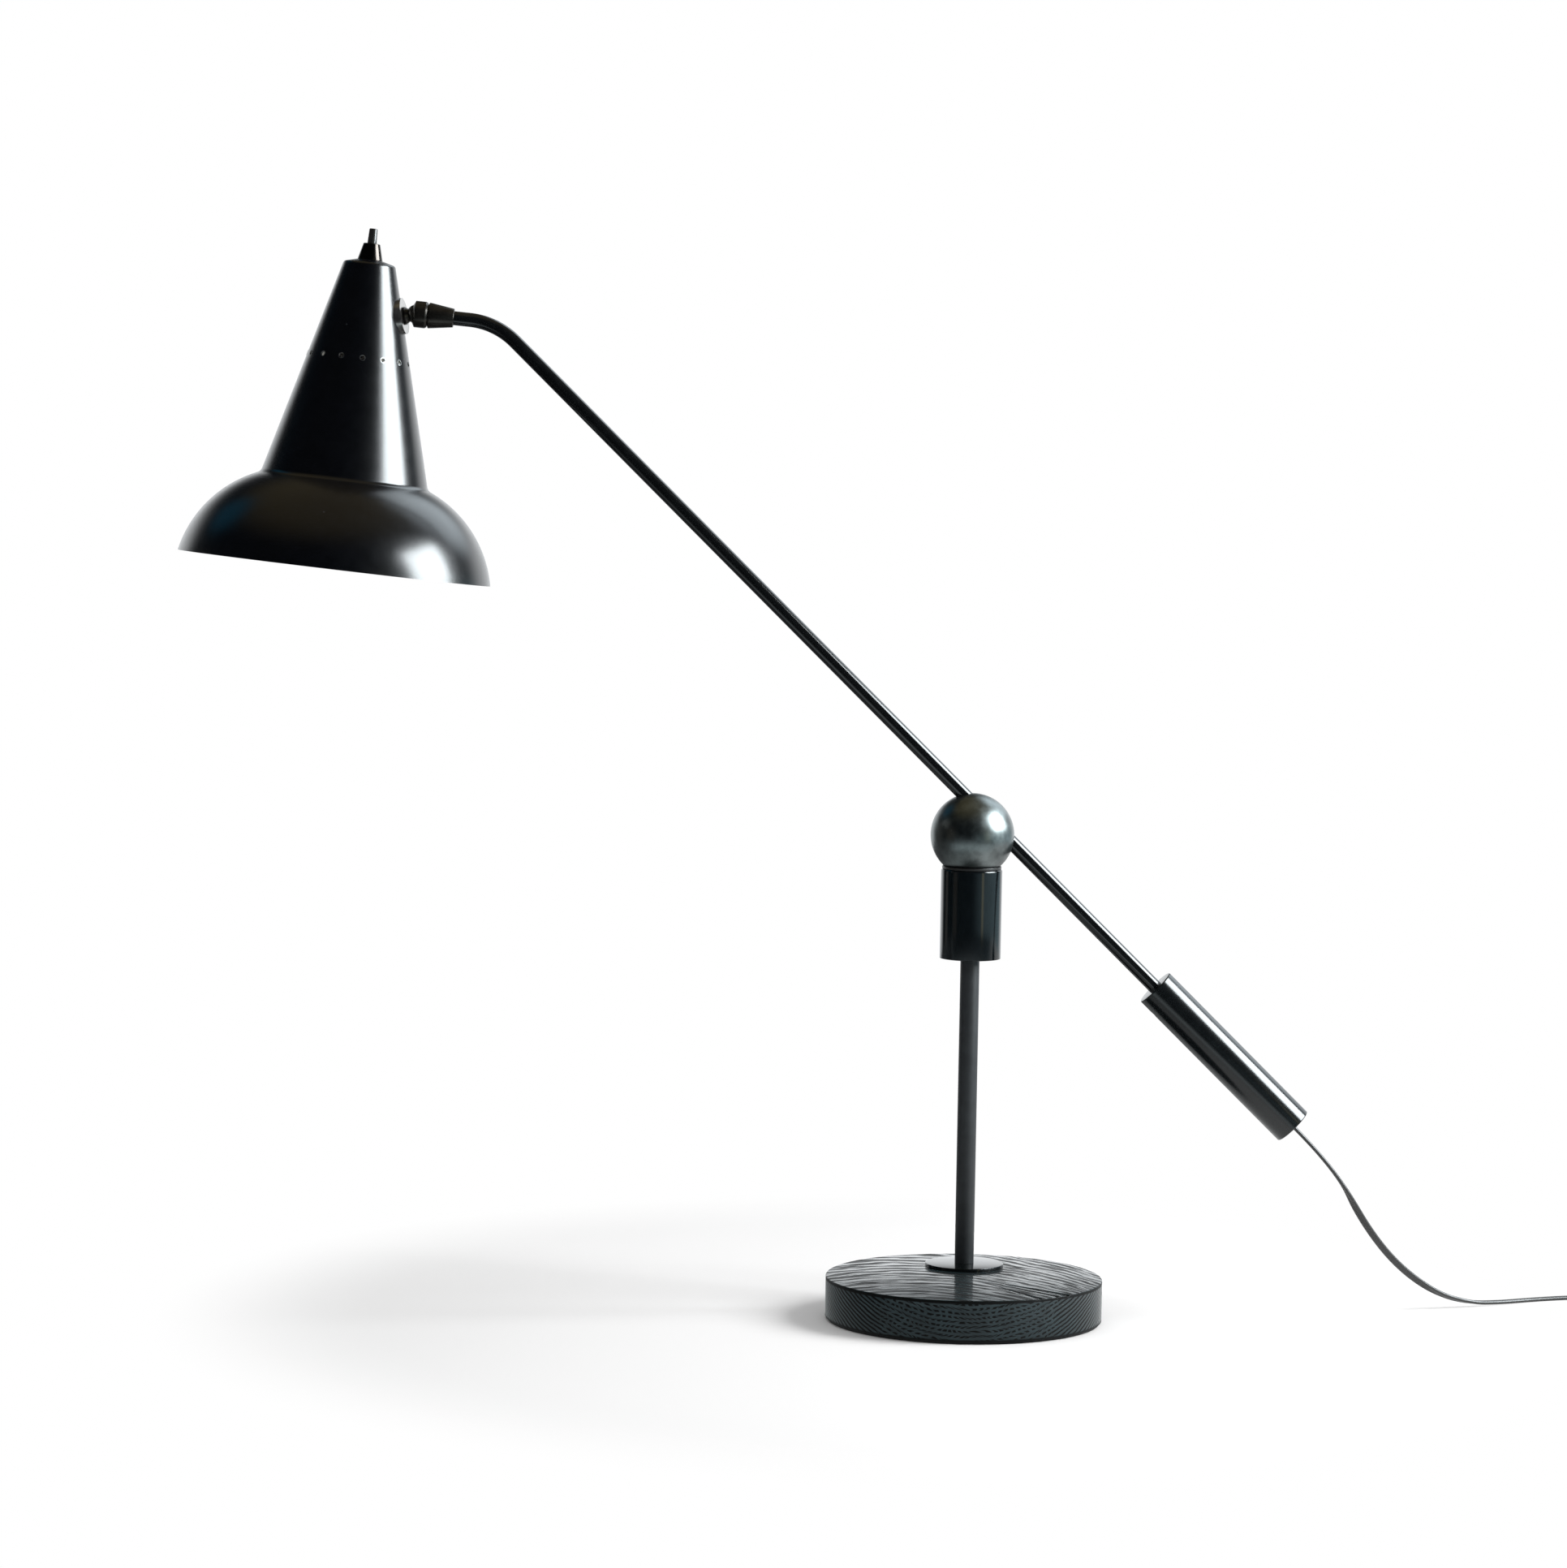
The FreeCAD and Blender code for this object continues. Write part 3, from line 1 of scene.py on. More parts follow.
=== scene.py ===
"""Dresses the counterweight balance desk lamp: finishes, fine shapes, lead, light and camera.

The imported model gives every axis, through its joints, and every node's place. Sizes here
are in millimetres, and meshes are turned or swept in the frame of the piece that they
belong to and then placed in metres. MM is a millimetre in metres, GAP is the play between
two pieces that fit, and a Step is where a smooth step begins and ends.
"""
from __future__ import annotations

import json
import logging
import math
import random
from dataclasses import dataclass, field
from enum import Enum
from typing import Iterable, Iterator, Mapping, Sequence

import bmesh
import bpy
from mathutils import Matrix, Vector

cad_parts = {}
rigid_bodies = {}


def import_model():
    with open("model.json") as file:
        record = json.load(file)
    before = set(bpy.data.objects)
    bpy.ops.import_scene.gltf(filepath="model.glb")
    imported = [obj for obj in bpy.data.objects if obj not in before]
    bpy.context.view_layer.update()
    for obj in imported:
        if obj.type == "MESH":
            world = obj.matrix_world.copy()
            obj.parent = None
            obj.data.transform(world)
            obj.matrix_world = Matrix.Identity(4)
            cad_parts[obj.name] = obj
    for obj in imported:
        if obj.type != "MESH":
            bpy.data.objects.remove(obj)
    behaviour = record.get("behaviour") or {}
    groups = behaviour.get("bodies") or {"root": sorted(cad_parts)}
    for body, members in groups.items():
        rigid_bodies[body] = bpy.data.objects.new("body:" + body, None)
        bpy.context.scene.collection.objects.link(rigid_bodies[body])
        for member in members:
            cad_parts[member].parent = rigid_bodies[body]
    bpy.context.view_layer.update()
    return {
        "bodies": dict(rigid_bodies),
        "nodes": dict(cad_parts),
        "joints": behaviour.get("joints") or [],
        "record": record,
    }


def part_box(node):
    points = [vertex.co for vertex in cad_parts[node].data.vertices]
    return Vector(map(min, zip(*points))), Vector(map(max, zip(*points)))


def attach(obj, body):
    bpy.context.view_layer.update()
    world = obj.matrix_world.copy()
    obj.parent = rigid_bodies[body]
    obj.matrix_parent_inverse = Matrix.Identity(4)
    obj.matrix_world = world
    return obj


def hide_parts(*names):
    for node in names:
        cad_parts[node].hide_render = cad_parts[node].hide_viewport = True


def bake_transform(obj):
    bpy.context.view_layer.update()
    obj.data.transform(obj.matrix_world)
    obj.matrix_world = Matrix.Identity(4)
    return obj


MM = 0.001
GAP = 0.03
IMAGE_HEIGHT = 1932
RIGHT = Vector((1, 0, 0))
BACK = Vector((0, 1, 0))
UP = Vector((0, 0, 1))
LOG = logging.getLogger("lamp")
Point = tuple[float, float]
Step = tuple[float, float]
Colour = tuple[float, float, float]
WHITE: Colour = (1.0, 1.0, 1.0)


# ---- shader expressions

class Value:
    """A number that varies over a surface. Its operators add Math nodes."""

    def __init__(self, graph: Graph, socket: bpy.types.NodeSocket) -> None:
        """Wrap an output socket of the graph."""
        self.graph = graph
        self.socket = socket

    def _math(self, operation: str, *values: object) -> Value:
        """Add one Math node.

        Args:
            operation: the Math node's operation.
            values: its operands in order, numbers or Values.

        Returns:
            The node's result.
        """
        node = self.graph.node("ShaderNodeMath", {"operation": operation}, dict(enumerate(values)))
        return Value(self.graph, node.outputs[0])

    def __add__(self, other: object) -> Value:
        """self + other."""
        return self._math("ADD", self, other)

    def __radd__(self, other: object) -> Value:
        """other + self."""
        return self._math("ADD", other, self)

    def __sub__(self, other: object) -> Value:
        """self - other."""
        return self._math("SUBTRACT", self, other)

    def __rsub__(self, other: object) -> Value:
        """other - self."""
        return self._math("SUBTRACT", other, self)

    def __mul__(self, other: object) -> Value:
        """self * other."""
        return self._math("MULTIPLY", self, other)

    def __rmul__(self, other: object) -> Value:
        """other * self."""
        return self._math("MULTIPLY", other, self)

    def __truediv__(self, other: object) -> Value:
        """self / other."""
        return self._math("DIVIDE", self, other)

    def sine(self) -> Value:
        """Sine of the number, in radians."""
        return self._math("SINE", self)

    def bearing(self, other: object) -> Value:
        """Angle of the point whose height this is and whose width is another number."""
        return self._math("ARCTAN2", self, other)

    def most(self, other: object) -> Value:
        """The larger of this and another number."""
        return self._math("MAXIMUM", self, other)

    def ramp(self, low: float, high: float, start: float = 0.0, end: float = 1.0) -> Value:
        """Smooth step from start to end.

        Args:
            low: value at which the step begins.
            high: value at which it ends.
            start: result below the step.
            end: result above the step.

        Returns:
            The stepped number.
        """
        node = self.graph.node(
            "ShaderNodeMapRange", {"interpolation_type": "SMOOTHSTEP"},
            {"Value": self, "From Min": low, "From Max": high, "To Min": start, "To Max": end})
        return Value(self.graph, node.outputs["Result"])


class Graph:
    """The node tree of a material or of the world."""

    def __init__(self, tree: bpy.types.NodeTree) -> None:
        """Start with an empty tree."""
        self.tree = tree
        tree.nodes.clear()

    def node(self, kind: str, settings: Mapping[str, object] | None = None,
             inputs: Mapping[object, object] | None = None) -> bpy.types.Node:
        """Add any node.

        Args:
            kind: the node's type.
            settings: properties of the node, set first.
            inputs: socket names or numbers with their values or links.

        Returns:
            The new node.
        """
        node = self.tree.nodes.new(kind)
        for name, setting in (settings or {}).items():
            setattr(node, name, setting)
        for name, value in (inputs or {}).items():
            self.feed(node.inputs[name], value)
        return node

    def feed(self, socket: bpy.types.NodeSocket, value: object) -> None:
        """Set an input socket, or link it to a Value, a node's first output or a socket."""
        if isinstance(value, Value):
            self.tree.links.new(value.socket, socket)
        elif isinstance(value, bpy.types.Node):
            self.tree.links.new(value.outputs[0], socket)
        elif isinstance(value, bpy.types.NodeSocket):
            self.tree.links.new(value, socket)
        elif isinstance(value, tuple) and socket.type == "RGBA":
            socket.default_value = (*value, 1.0)
        else:
            socket.default_value = value

    def place(self) -> bpy.types.NodeSocket:
        """Position on the object, in millimetres."""
        metres = self.node("ShaderNodeTexCoord").outputs["Object"]
        return self.node("ShaderNodeVectorMath", {"operation": "SCALE"},
                         {0: metres, "Scale": 1 / MM}).outputs[0]

    def parts(self, vector: bpy.types.NodeSocket) -> tuple[Value, Value, Value]:
        """The three coordinates of a vector."""
        split = self.node("ShaderNodeSeparateXYZ", None, {0: vector})
        return tuple(Value(self, output) for output in split.outputs)

    def vector(self, x: object, y: object, z: object) -> bpy.types.NodeSocket:
        """A vector from three numbers or Values."""
        return self.node("ShaderNodeCombineXYZ", None, {0: x, 1: y, 2: z}).outputs[0]

    def ray(self, kind: str) -> Value:
        """1 for rays of a kind, such as Camera, and 0 for others."""
        return Value(self, self.node("ShaderNodeLightPath").outputs[f"Is {kind} Ray"])

    def noise(self, where: bpy.types.NodeSocket | tuple[object, ...], size: float,
              detail: float = 2.0) -> Value:
        """Noise from 0 to 1.

        Args:
            where: the position it is read at, as a vector or as its three coordinates.
            size: how large its blots are, in the position's units.
            detail: how many finer layers it has.

        Returns:
            The noise, about 0.5 on average.
        """
        if isinstance(where, tuple):
            where = self.vector(*where)
        node = self.node("ShaderNodeTexNoise", None,
                         {"Vector": where, "Scale": 1 / size, "Detail": detail})
        return Value(self, node.outputs["Fac"])

    def specks(self, where: bpy.types.NodeSocket, size: float, share: float,
               kept: Step = (0.80, 0.82)) -> Value:
        """Sparse round dots.

        Args:
            where: the position they are read at.
            size: the spacing of the cells that may hold a dot.
            share: radius of a dot, as a share of its cell.
            kept: above which number, drawn for each cell, it holds a dot.

        Returns:
            1 inside a dot and 0 outside.
        """
        cells = self.node("ShaderNodeTexVoronoi", None, {"Vector": where, "Scale": 1 / size})
        drawn = self.parts(cells.outputs["Color"])[0].ramp(*kept)
        return Value(self, cells.outputs["Distance"]).ramp(share, share * 0.5) * drawn

    def mix(self, share: object, first: object, second: object) -> bpy.types.NodeSocket:
        """Blend of two colours, by a share from 0 to 1 of the second."""
        node = self.node("ShaderNodeMix", {"data_type": "RGBA"},
                         {"Factor": share, 6: first, 7: second})
        return node.outputs[2]

    def bump(self, height: Value, depth: float, under: object = None) -> bpy.types.NodeSocket:
        """Surface normal from a height.

        Args:
            height: relief from 0 to 1.
            depth: how deep a relief of 1 is, in millimetres.
            under: a normal that this relief is laid on, if any.

        Returns:
            The normal.
        """
        node = self.node("ShaderNodeBump", None,
                         {"Strength": 1.0, "Distance": depth * MM, "Height": height})
        if under is not None:
            self.feed(node.inputs["Normal"], under)
        return node.outputs[0]


# ---- finishes

@dataclass(frozen=True)
class Finish:
    """What every finish has: a name, a colour and a gloss."""

    name: str
    colour: Colour
    roughness: float

    def tinted(self, factor: float, lift: float = 0.0) -> Colour:
        """The colour times a factor, lifted a little."""
        return tuple(factor * part + lift for part in self.colour)

    def varied(self, noise: Value, share: float) -> Value:
        """Roughness that a noise varies by a share either way."""
        return self.roughness * (1 - share) + noise * (2 * share * self.roughness)

    def shader(self, graph: Graph) -> Mapping[str, object]:
        """Values for the Principled shader's sockets."""
        return {"Base Color": self.colour, "Roughness": self.roughness}

    def material(self) -> bpy.types.Material:
        """The finish's material, made when it is first asked for."""
        known = bpy.data.materials.get(self.name)
        if known:
            return known
        material = bpy.data.materials.new(self.name)
        material.use_nodes = True
        graph = Graph(material.node_tree)
        shader = graph.node("ShaderNodeBsdfPrincipled", None, self.shader(graph))
        graph.node("ShaderNodeOutputMaterial", None, {"Surface": shader})
        return material


@dataclass(frozen=True)
class Coat(Finish):
    """Satin lacquer on metal: fine orange peel, slight mottling and a few specks of dust."""

    grain: float = 2.4
    relief: float = 0.0004
    mottle: float = 0.12
    dust: float = 0.0
    ior: float = 1.5
    cell: float = 9.0
    dust_colour: Colour = (0.5, 0.55, 0.6)

    def shader(self, graph: Graph) -> Mapping[str, object]:
        """Values for the Principled shader's sockets."""
        here = graph.place()
        cloud = graph.noise(here, self.cell, 4.0)
        fine = graph.noise(here, self.grain, 1.0)
        colour = graph.mix(cloud.ramp(0.3, 0.7), self.colour, self.tinted(1.35, 0.0003))
        if self.dust:
            dust = graph.specks(here, self.cell, self.dust)
            colour = graph.mix(dust, colour, self.dust_colour)
        return {"Base Color": colour, "Roughness": self.varied(cloud, self.mottle),
                "IOR": self.ior, "Normal": graph.bump(fine, self.relief)}


@dataclass(frozen=True)
class Metal(Finish):
    """Bare or darkened metal with faint wear: cloudy gloss and fine scratches."""

    metallic: float = 1.0
    scratch: float = 0.0015
    along: Vector = field(default_factory=lambda: Vector((1.0, 1.0, 12.0)))

    def shader(self, graph: Graph) -> Mapping[str, object]:
        """Values for the Principled shader's sockets."""
        here = graph.place()
        drawn = graph.node("ShaderNodeVectorMath", {"operation": "MULTIPLY"},
                           {0: here, 1: tuple(self.along)}).outputs[0]
        lines = graph.noise(drawn, 2.5, 3.0)
        cloud = graph.noise(here, 6.0, 3.0)
        colour = graph.mix(cloud.ramp(0.35, 0.65), self.tinted(0.75), self.colour)
        return {"Base Color": colour, "Metallic": self.metallic,
                "Roughness": self.varied(cloud, 0.2), "Normal": graph.bump(lines, self.scratch)}


@dataclass(frozen=True)
class Plastic(Finish):
    """Moulded plastic or rubber with a slight texture."""

    texture: float = 0.5
    relief: float = 0.003
    shine: float = 0.5

    def shader(self, graph: Graph) -> Mapping[str, object]:
        """Values for the Principled shader's sockets."""
        here = graph.place()
        fine = graph.noise(here, self.texture)
        cloud = graph.noise(here, 7.0)
        return {"Base Color": graph.mix(cloud.ramp(0.3, 0.7), self.colour, self.tinted(1.3)),
                "Roughness": self.varied(fine, 0.1), "Specular IOR Level": self.shine,
                "Normal": graph.bump(fine, self.relief)}


@dataclass(frozen=True)
class Felt(Finish):
    """Short matted fibres under the base."""

    def shader(self, graph: Graph) -> Mapping[str, object]:
        """Values for the Principled shader's sockets."""
        fibres = graph.noise(graph.place(), 0.5, 6.0)
        colour = graph.mix(fibres.ramp(0.35, 0.75), self.colour, self.tinted(3.0))
        return {"Base Color": colour,
                "Roughness": self.roughness, "Sheen Weight": 0.15, "Sheen Roughness": 0.5,
                "Normal": graph.bump(fibres, 0.15)}


@dataclass(frozen=True)
class OpalGlass(Finish):
    """White opal glass of the bulb."""

    milk: Colour = (0.95, 0.95, 0.93)

    def shader(self, graph: Graph) -> Mapping[str, object]:
        """Values for the Principled shader's sockets."""
        cloud = graph.noise(graph.place(), 14.0)
        return {"Base Color": graph.mix(cloud, self.colour, self.milk),
                "Roughness": self.roughness, "Subsurface Weight": 0.3,
                "Subsurface Scale": 0.004, "Coat Weight": 0.6}


@dataclass(frozen=True)
class StainedOak(Finish):
    """Black-stained oak under lacquer: bent streaks on top and rows of pores on the side.

    The steps of the foot, the rim and the upper face are heights. Below the foot step the
    side is painted dark as shade where the disc meets the floor; above the rim step a painted
    dark reflection runs along the rounded upper edge.
    """

    radius: float = 91.2
    pore: Colour = (0.0015, 0.0020, 0.0020)
    pore_depth: float = 0.10
    grain: float = 2.2
    grain_depth: float = 0.015
    streak: float = 11.0
    bend: float = 0.0075
    bend_centre: float = -34.0
    streak_sway: float = 15.0
    broad_step: Step = (1.26, 1.44)
    fine_step: Step = (0.525, 0.59)
    hair_step: Step = (0.35, 0.55)
    row: float = 3.0
    rise: float = 0.66
    row_sway: float = 3.0
    row_step: Step = (-0.1, 0.3)
    dash: float = 4.2
    dash_shift: float = 34.0
    dash_step: Step = (0.45, 0.85)
    closed: float = 1.2
    closed_step: Step = (45.0, 75.0)
    # Heights of the painted shade at the foot and of the painted dark reflection at the upper
    # edge.
    foot_shade_step: Step = (3.6, 2.0)
    edge_reflection_step: Step = (25.9, 26.5)
    face_step: Step = (27.9, 28.3)

    def streaks(self, graph: Graph, here: bpy.types.NodeSocket) -> Value:
        """Growth rings cut flat, on the upper face: 1 in a streak and 0 beside it."""
        x, y, z = graph.parts(here)
        sway = graph.noise((x * 0.6, y, z), 30.0, 3.0)
        offset = x - self.bend_centre
        turns = (y + offset * offset * self.bend + sway * self.streak_sway) / self.streak
        along = x * 0.032 - y * 0.012
        broken = graph.noise((turns * 0.9, along, 0.0), 1.0)
        broad = (turns * math.tau).sine() * 0.5 + broken * 2.4
        fine = graph.noise((turns * 4.0, along * 0.9, 4.0), 1.0)
        hairs = graph.noise((turns * 12.0, along * 1.6, 9.0), 1.0)
        streaked = broad.ramp(*self.broad_step) * (0.6 + 0.4 * hairs.ramp(*self.hair_step))
        return streaked.most(fine.ramp(*self.fine_step))

    def dashes(self, graph: Graph, here: bpy.types.NodeSocket) -> Value:
        """Rows of short open pores round the side: 1 in a pore and 0 beside it."""
        x, y, z = graph.parts(here)
        along = y.bearing(x) * self.radius
        sway = graph.noise((along * 0.7, z, 0.0), 14.0)
        turns = (z - y * self.rise + sway * self.row_sway) / self.row
        rows = (turns * math.tau).sine().ramp(*self.row_step)
        shift = graph.noise((turns * 0.9, along * 0.03, 0.0), 1.0, 1.0)
        beat = (along * (math.tau / self.dash) + shift * self.dash_shift).sine()
        gaps = graph.noise((along * 0.22, turns * 0.8, 3.0), 1.0)
        closed = (x * x).ramp(*(edge ** 2 for edge in self.closed_step)) * self.closed
        return rows * (beat * 0.5 + gaps * 1.6 + closed).ramp(*self.dash_step)

    def shader(self, graph: Graph) -> Mapping[str, object]:
        """Values for the Principled shader's sockets."""
        here = graph.place()
        height = graph.parts(here)[2]
        face = height.ramp(*self.face_step)
        # Painted shade at the foot and a painted dark reflection along the upper edge: there the
        # side takes the pore colour and loses its lacquer.
        edges = height.ramp(*self.foot_shade_step) + height.ramp(*self.edge_reflection_step)
        side = self.dashes(graph, here).most(edges)
        # The pore mask also carries the painted foot shade and the painted edge reflection.
        pores = side * (1 - face) + self.streaks(graph, here) * face
        cloud = graph.noise(here, 11.0, 3.0)
        colour = graph.mix(cloud.ramp(0.35, 0.65), self.colour, self.tinted(1.4))
        grain = graph.bump(graph.noise(here, self.grain), self.grain_depth)
        return {"Base Color": graph.mix(pores, colour, self.pore), "Roughness": 0.5 + cloud * 0.1,
                "Specular IOR Level": 0.12, "Coat Roughness": self.roughness, "Coat IOR": 1.33,
                "Coat Weight": 1 - pores * 0.96,
                "Normal": graph.bump(1 - pores, self.pore_depth, grain)}


class Black(Enum):
    """The black lacquers of the lamp's metal parts."""

    ARM = Coat("arm_lacquer", (0.0035, 0.0040, 0.0045), 0.14)
    STEM = Coat("stem_lacquer", (0.0160, 0.0190, 0.0220), 0.46)
    CUP = Coat("cup_lacquer", (0.0030, 0.0048, 0.0060), 0.12)
    WEIGHT = Coat("weight_lacquer", (0.0035, 0.0046, 0.0052), 0.19)
    FLANGE = Coat("flange_lacquer", (0.0030, 0.0040, 0.0045), 0.06)
    SHADE = Coat("shade_lacquer", (0.0008, 0.0011, 0.0022), 0.24, grain=0.42, relief=0.005,
                 dust=0.022, ior=1.55)


WHITE_INSIDE = Coat("shade_white", (0.80, 0.79, 0.76), 0.45, grain=0.6, relief=0.004)
BALL_STEEL = Metal("ball_gunmetal", (0.17, 0.19, 0.19), 0.33, along=Vector((1, 1, 1)),
                   scratch=0.0006)
OXIDE = Metal("black_oxide", (0.040, 0.036, 0.032), 0.30, metallic=0.85, scratch=0.0003,
              along=Vector((1, 1, 1)))
WASHER = Metal("washer_steel", (0.35, 0.34, 0.33), 0.20, metallic=0.9)
BRONZE = Metal("dark_bronze", (0.048, 0.042, 0.038), 0.18)
# Painted highlight: light grey metal on the rings round the shade's vents, standing for the lit
# edges of the holes.
VENT_HIGHLIGHT = Metal("vent_edge_highlight", (0.32, 0.33, 0.33), 0.35)
ZINC = Metal("zinc_steel", (0.55, 0.56, 0.57), 0.32)
BRASS = Metal("contact_brass", (0.78, 0.60, 0.30), 0.28)
LEAD_METAL = Metal("core_metal", (0.30, 0.30, 0.32), 0.5)
FERRITE = Coat("magnet_ferrite", (0.05, 0.05, 0.055), 0.6, grain=0.8, relief=0.01)
SEAT = Plastic("seat_plastic", (0.008, 0.008, 0.009), 0.34)
BAKELITE = Plastic("holder_plastic", (0.012, 0.011, 0.010), 0.28)
BUTTON = Plastic("button_plastic", (0.010, 0.013, 0.015), 0.20)
CERAMIC = Plastic("insert_ceramic", (0.62, 0.58, 0.50), 0.55)
SHEATH = Plastic("cord_sheath", (0.006, 0.008, 0.009), 0.28, texture=0.8, relief=0.003,
                 shine=0.1)
WIRE = Plastic("wire_sheath", (0.16, 0.05, 0.03), 0.4)
PLUG = Plastic("plug_plastic", (0.013, 0.014, 0.015), 0.42, texture=0.4, relief=0.012)
FELT = Felt("base_felt", (0.004, 0.004, 0.004), 0.95)
OPAL = OpalGlass("opal_glass", (0.86, 0.86, 0.84), 0.12)
OAK = StainedOak("stained_oak", (0.012, 0.023, 0.027), 0.11)


# ---- places and meshes

@dataclass(frozen=True)
class Place:
    """An origin in metres with a Z axis, and an X axis as near to a hint as it can be."""

    origin: Vector
    z: Vector
    hint: Vector

    @property
    def matrix(self) -> Matrix:
        """Takes a point in this place's millimetres to the row frame in metres."""
        z = self.z.normalized()
        x = (self.hint - z * self.hint.dot(z)).normalized()
        y = z.cross(x)
        turn = Matrix((x, y, z)).transposed().to_4x4()
        return Matrix.Translation(self.origin) @ turn @ Matrix.Scale(MM, 4)

    def at(self, height: float) -> Vector:
        """The point on the Z axis at a height in millimetres, in metres."""
        return self.origin + self.z.normalized() * height * MM


def rounded(corners: Sequence[Sequence[float]], steps: int = 5) -> list[Point]:
    """Closed outline with rounded corners.

    Args:
        corners: radius, height and, where the corner is rounded, its rounding.
        steps: how many pieces each rounding has.

    Returns:
        The outline's points in order.
    """
    points: list[Point] = []
    count = len(corners)
    for number, corner in enumerate(corners):
        if len(corner) < 3:
            points.append((corner[0], corner[1]))
            continue
        here, rounding = Vector(corner[:2]), corner[2]
        into = (here - Vector(corners[number - 1][:2])).normalized()
        out = (Vector(corners[(number + 1) % count][:2]) - here).normalized()
        turn = into.angle(out)
        cut = rounding * math.tan(turn / 2)
        start, end = here - into * cut, here + out * cut
        for step in range(steps + 1):
            share = step / steps
            low, high = (1 - share) ** 2, share ** 2
            middle = 2 * share * (1 - share) * math.cos(turn / 2)
            points.append(tuple((start * low + here * middle + end * high)
                                / (low + middle + high)))
    return points


def arc(centre: Point, radius: float, start: float, end: float, steps: int) -> list[Point]:
    """Points of an arc.

    Args:
        centre: radius and height of its centre.
        radius: its radius.
        start: first angle in degrees, from straight out towards rising height.
        end: last angle.
        steps: how many pieces it has.

    Returns:
        The points from start to end.
    """
    angles = [math.radians(start + (end - start) * step / steps) for step in range(steps + 1)]
    return [(centre[0] + radius * math.cos(angle), centre[1] + radius * math.sin(angle))
            for angle in angles]


def circle(centre: Vector, across: Vector, over: Vector, radius: float,
           count: int) -> list[Vector]:
    """Points of a circle, whose plane has the directions across and over."""
    angles = [math.tau * number / count for number in range(count)]
    return [centre + (across * math.cos(angle) + over * math.sin(angle)) * radius
            for angle in angles]


def ridge(radius: float, low: float, pitch: float, profile: Iterable[Point]) -> list[Point]:
    """Outline of one ridge, from depths under its radius at shares of its pitch."""
    return [(radius - depth, low + share * pitch) for depth, share in profile]


def eased(share: float) -> float:
    """Smooth step from 0 to 1."""
    return share * share * (3 - 2 * share)


@dataclass
class Shape:
    """A mesh under construction, in millimetres of one place."""

    verts: list[Vector] = field(default_factory=list)
    faces: list[tuple[int, ...]] = field(default_factory=list)
    slots: list[int] = field(default_factory=list)

    def ring_of_faces(self, first: Sequence[int], second: Sequence[int], slot: int) -> None:
        """Join two rings of points, either of which may be one point."""
        count = max(len(first), len(second))
        for n in range(count):
            a, b = first[n % len(first)], first[(n + 1) % len(first)]
            c, d = second[(n + 1) % len(second)], second[n % len(second)]
            face = tuple(dict.fromkeys((a, b, c, d)))
            if len(face) > 2:
                self.faces.append(face)
                self.slots.append(slot)

    def turned(self, outline: Sequence[Point], segments: int = 96, closed: bool = True,
               slot_of: Mapping[int, int] | None = None) -> Shape:
        """Turn an outline round the Z axis.

        Args:
            outline: radius and height of its points; a radius of 0 is a pole.
            segments: how many pieces a turn has.
            closed: whether the last point joins the first.
            slot_of: material slots of stretches of the outline, by their first point.

        Returns:
            This shape, with the turned faces added.
        """
        rings = []
        for radius, height in outline:
            start = len(self.verts)
            if radius < 1e-6:
                self.verts.append(Vector((0, 0, height)))
                rings.append([start])
                continue
            for n in range(segments):
                angle = math.tau * n / segments
                self.verts.append(Vector((radius * math.cos(angle), radius * math.sin(angle),
                                          height)))
            rings.append(list(range(start, start + segments)))
        slot = 0
        last = len(rings) if closed else len(rings) - 1
        for n in range(last):
            slot = (slot_of or {}).get(n, slot)
            self.ring_of_faces(rings[n], rings[(n + 1) % len(rings)], slot)
        return self

    def lofted(self, sections: Sequence[Sequence[Vector]], capped: bool = True,
               slot: int = 0) -> Shape:
        """Join sections that have the same number of points, and close the ends."""
        rings = []
        for section in sections:
            start = len(self.verts)
            self.verts.extend(section)
            rings.append(list(range(start, start + len(section))))
        for first, second in zip(rings, rings[1:]):
            self.ring_of_faces(first, second, slot)
        if capped:
            self.faces += [tuple(reversed(rings[0])), tuple(rings[-1])]
            self.slots += [slot, slot]
        return self

    def moved(self, offset: Vector) -> Shape:
        """The same shape, shifted."""
        self.verts = [v + offset for v in self.verts]
        return self

    def mesh(self, name: str, matrix: Matrix) -> bpy.types.Mesh:
        """The finished mesh in metres.

        Args:
            name: the mesh's name.
            matrix: takes this shape's millimetres to the row frame.

        Returns:
            The mesh, with its faces turned outwards.
        """
        mesh = bpy.data.meshes.new(name)
        mesh.from_pydata([matrix @ v for v in self.verts], [], self.faces)
        mesh.polygons.foreach_set("material_index", self.slots)
        work = bmesh.new()
        work.from_mesh(mesh)
        bmesh.ops.recalc_face_normals(work, faces=work.faces)
        work.to_mesh(mesh)
        work.free()
        return mesh


def smooth(mesh: bpy.types.Mesh, angle: float = 34.0) -> None:
    """Shade smoothly, except across edges sharper than an angle in degrees."""
    mesh.polygons.foreach_set("use_smooth", [True] * len(mesh.polygons))
    mesh.set_sharp_from_angle(angle=math.radians(angle))


def put(name: str, data: bpy.types.ID) -> bpy.types.Object:
    """Add an object to the scene, with its data."""
    item = bpy.data.objects.new(name, data)
    bpy.context.scene.collection.objects.link(item)
    return item


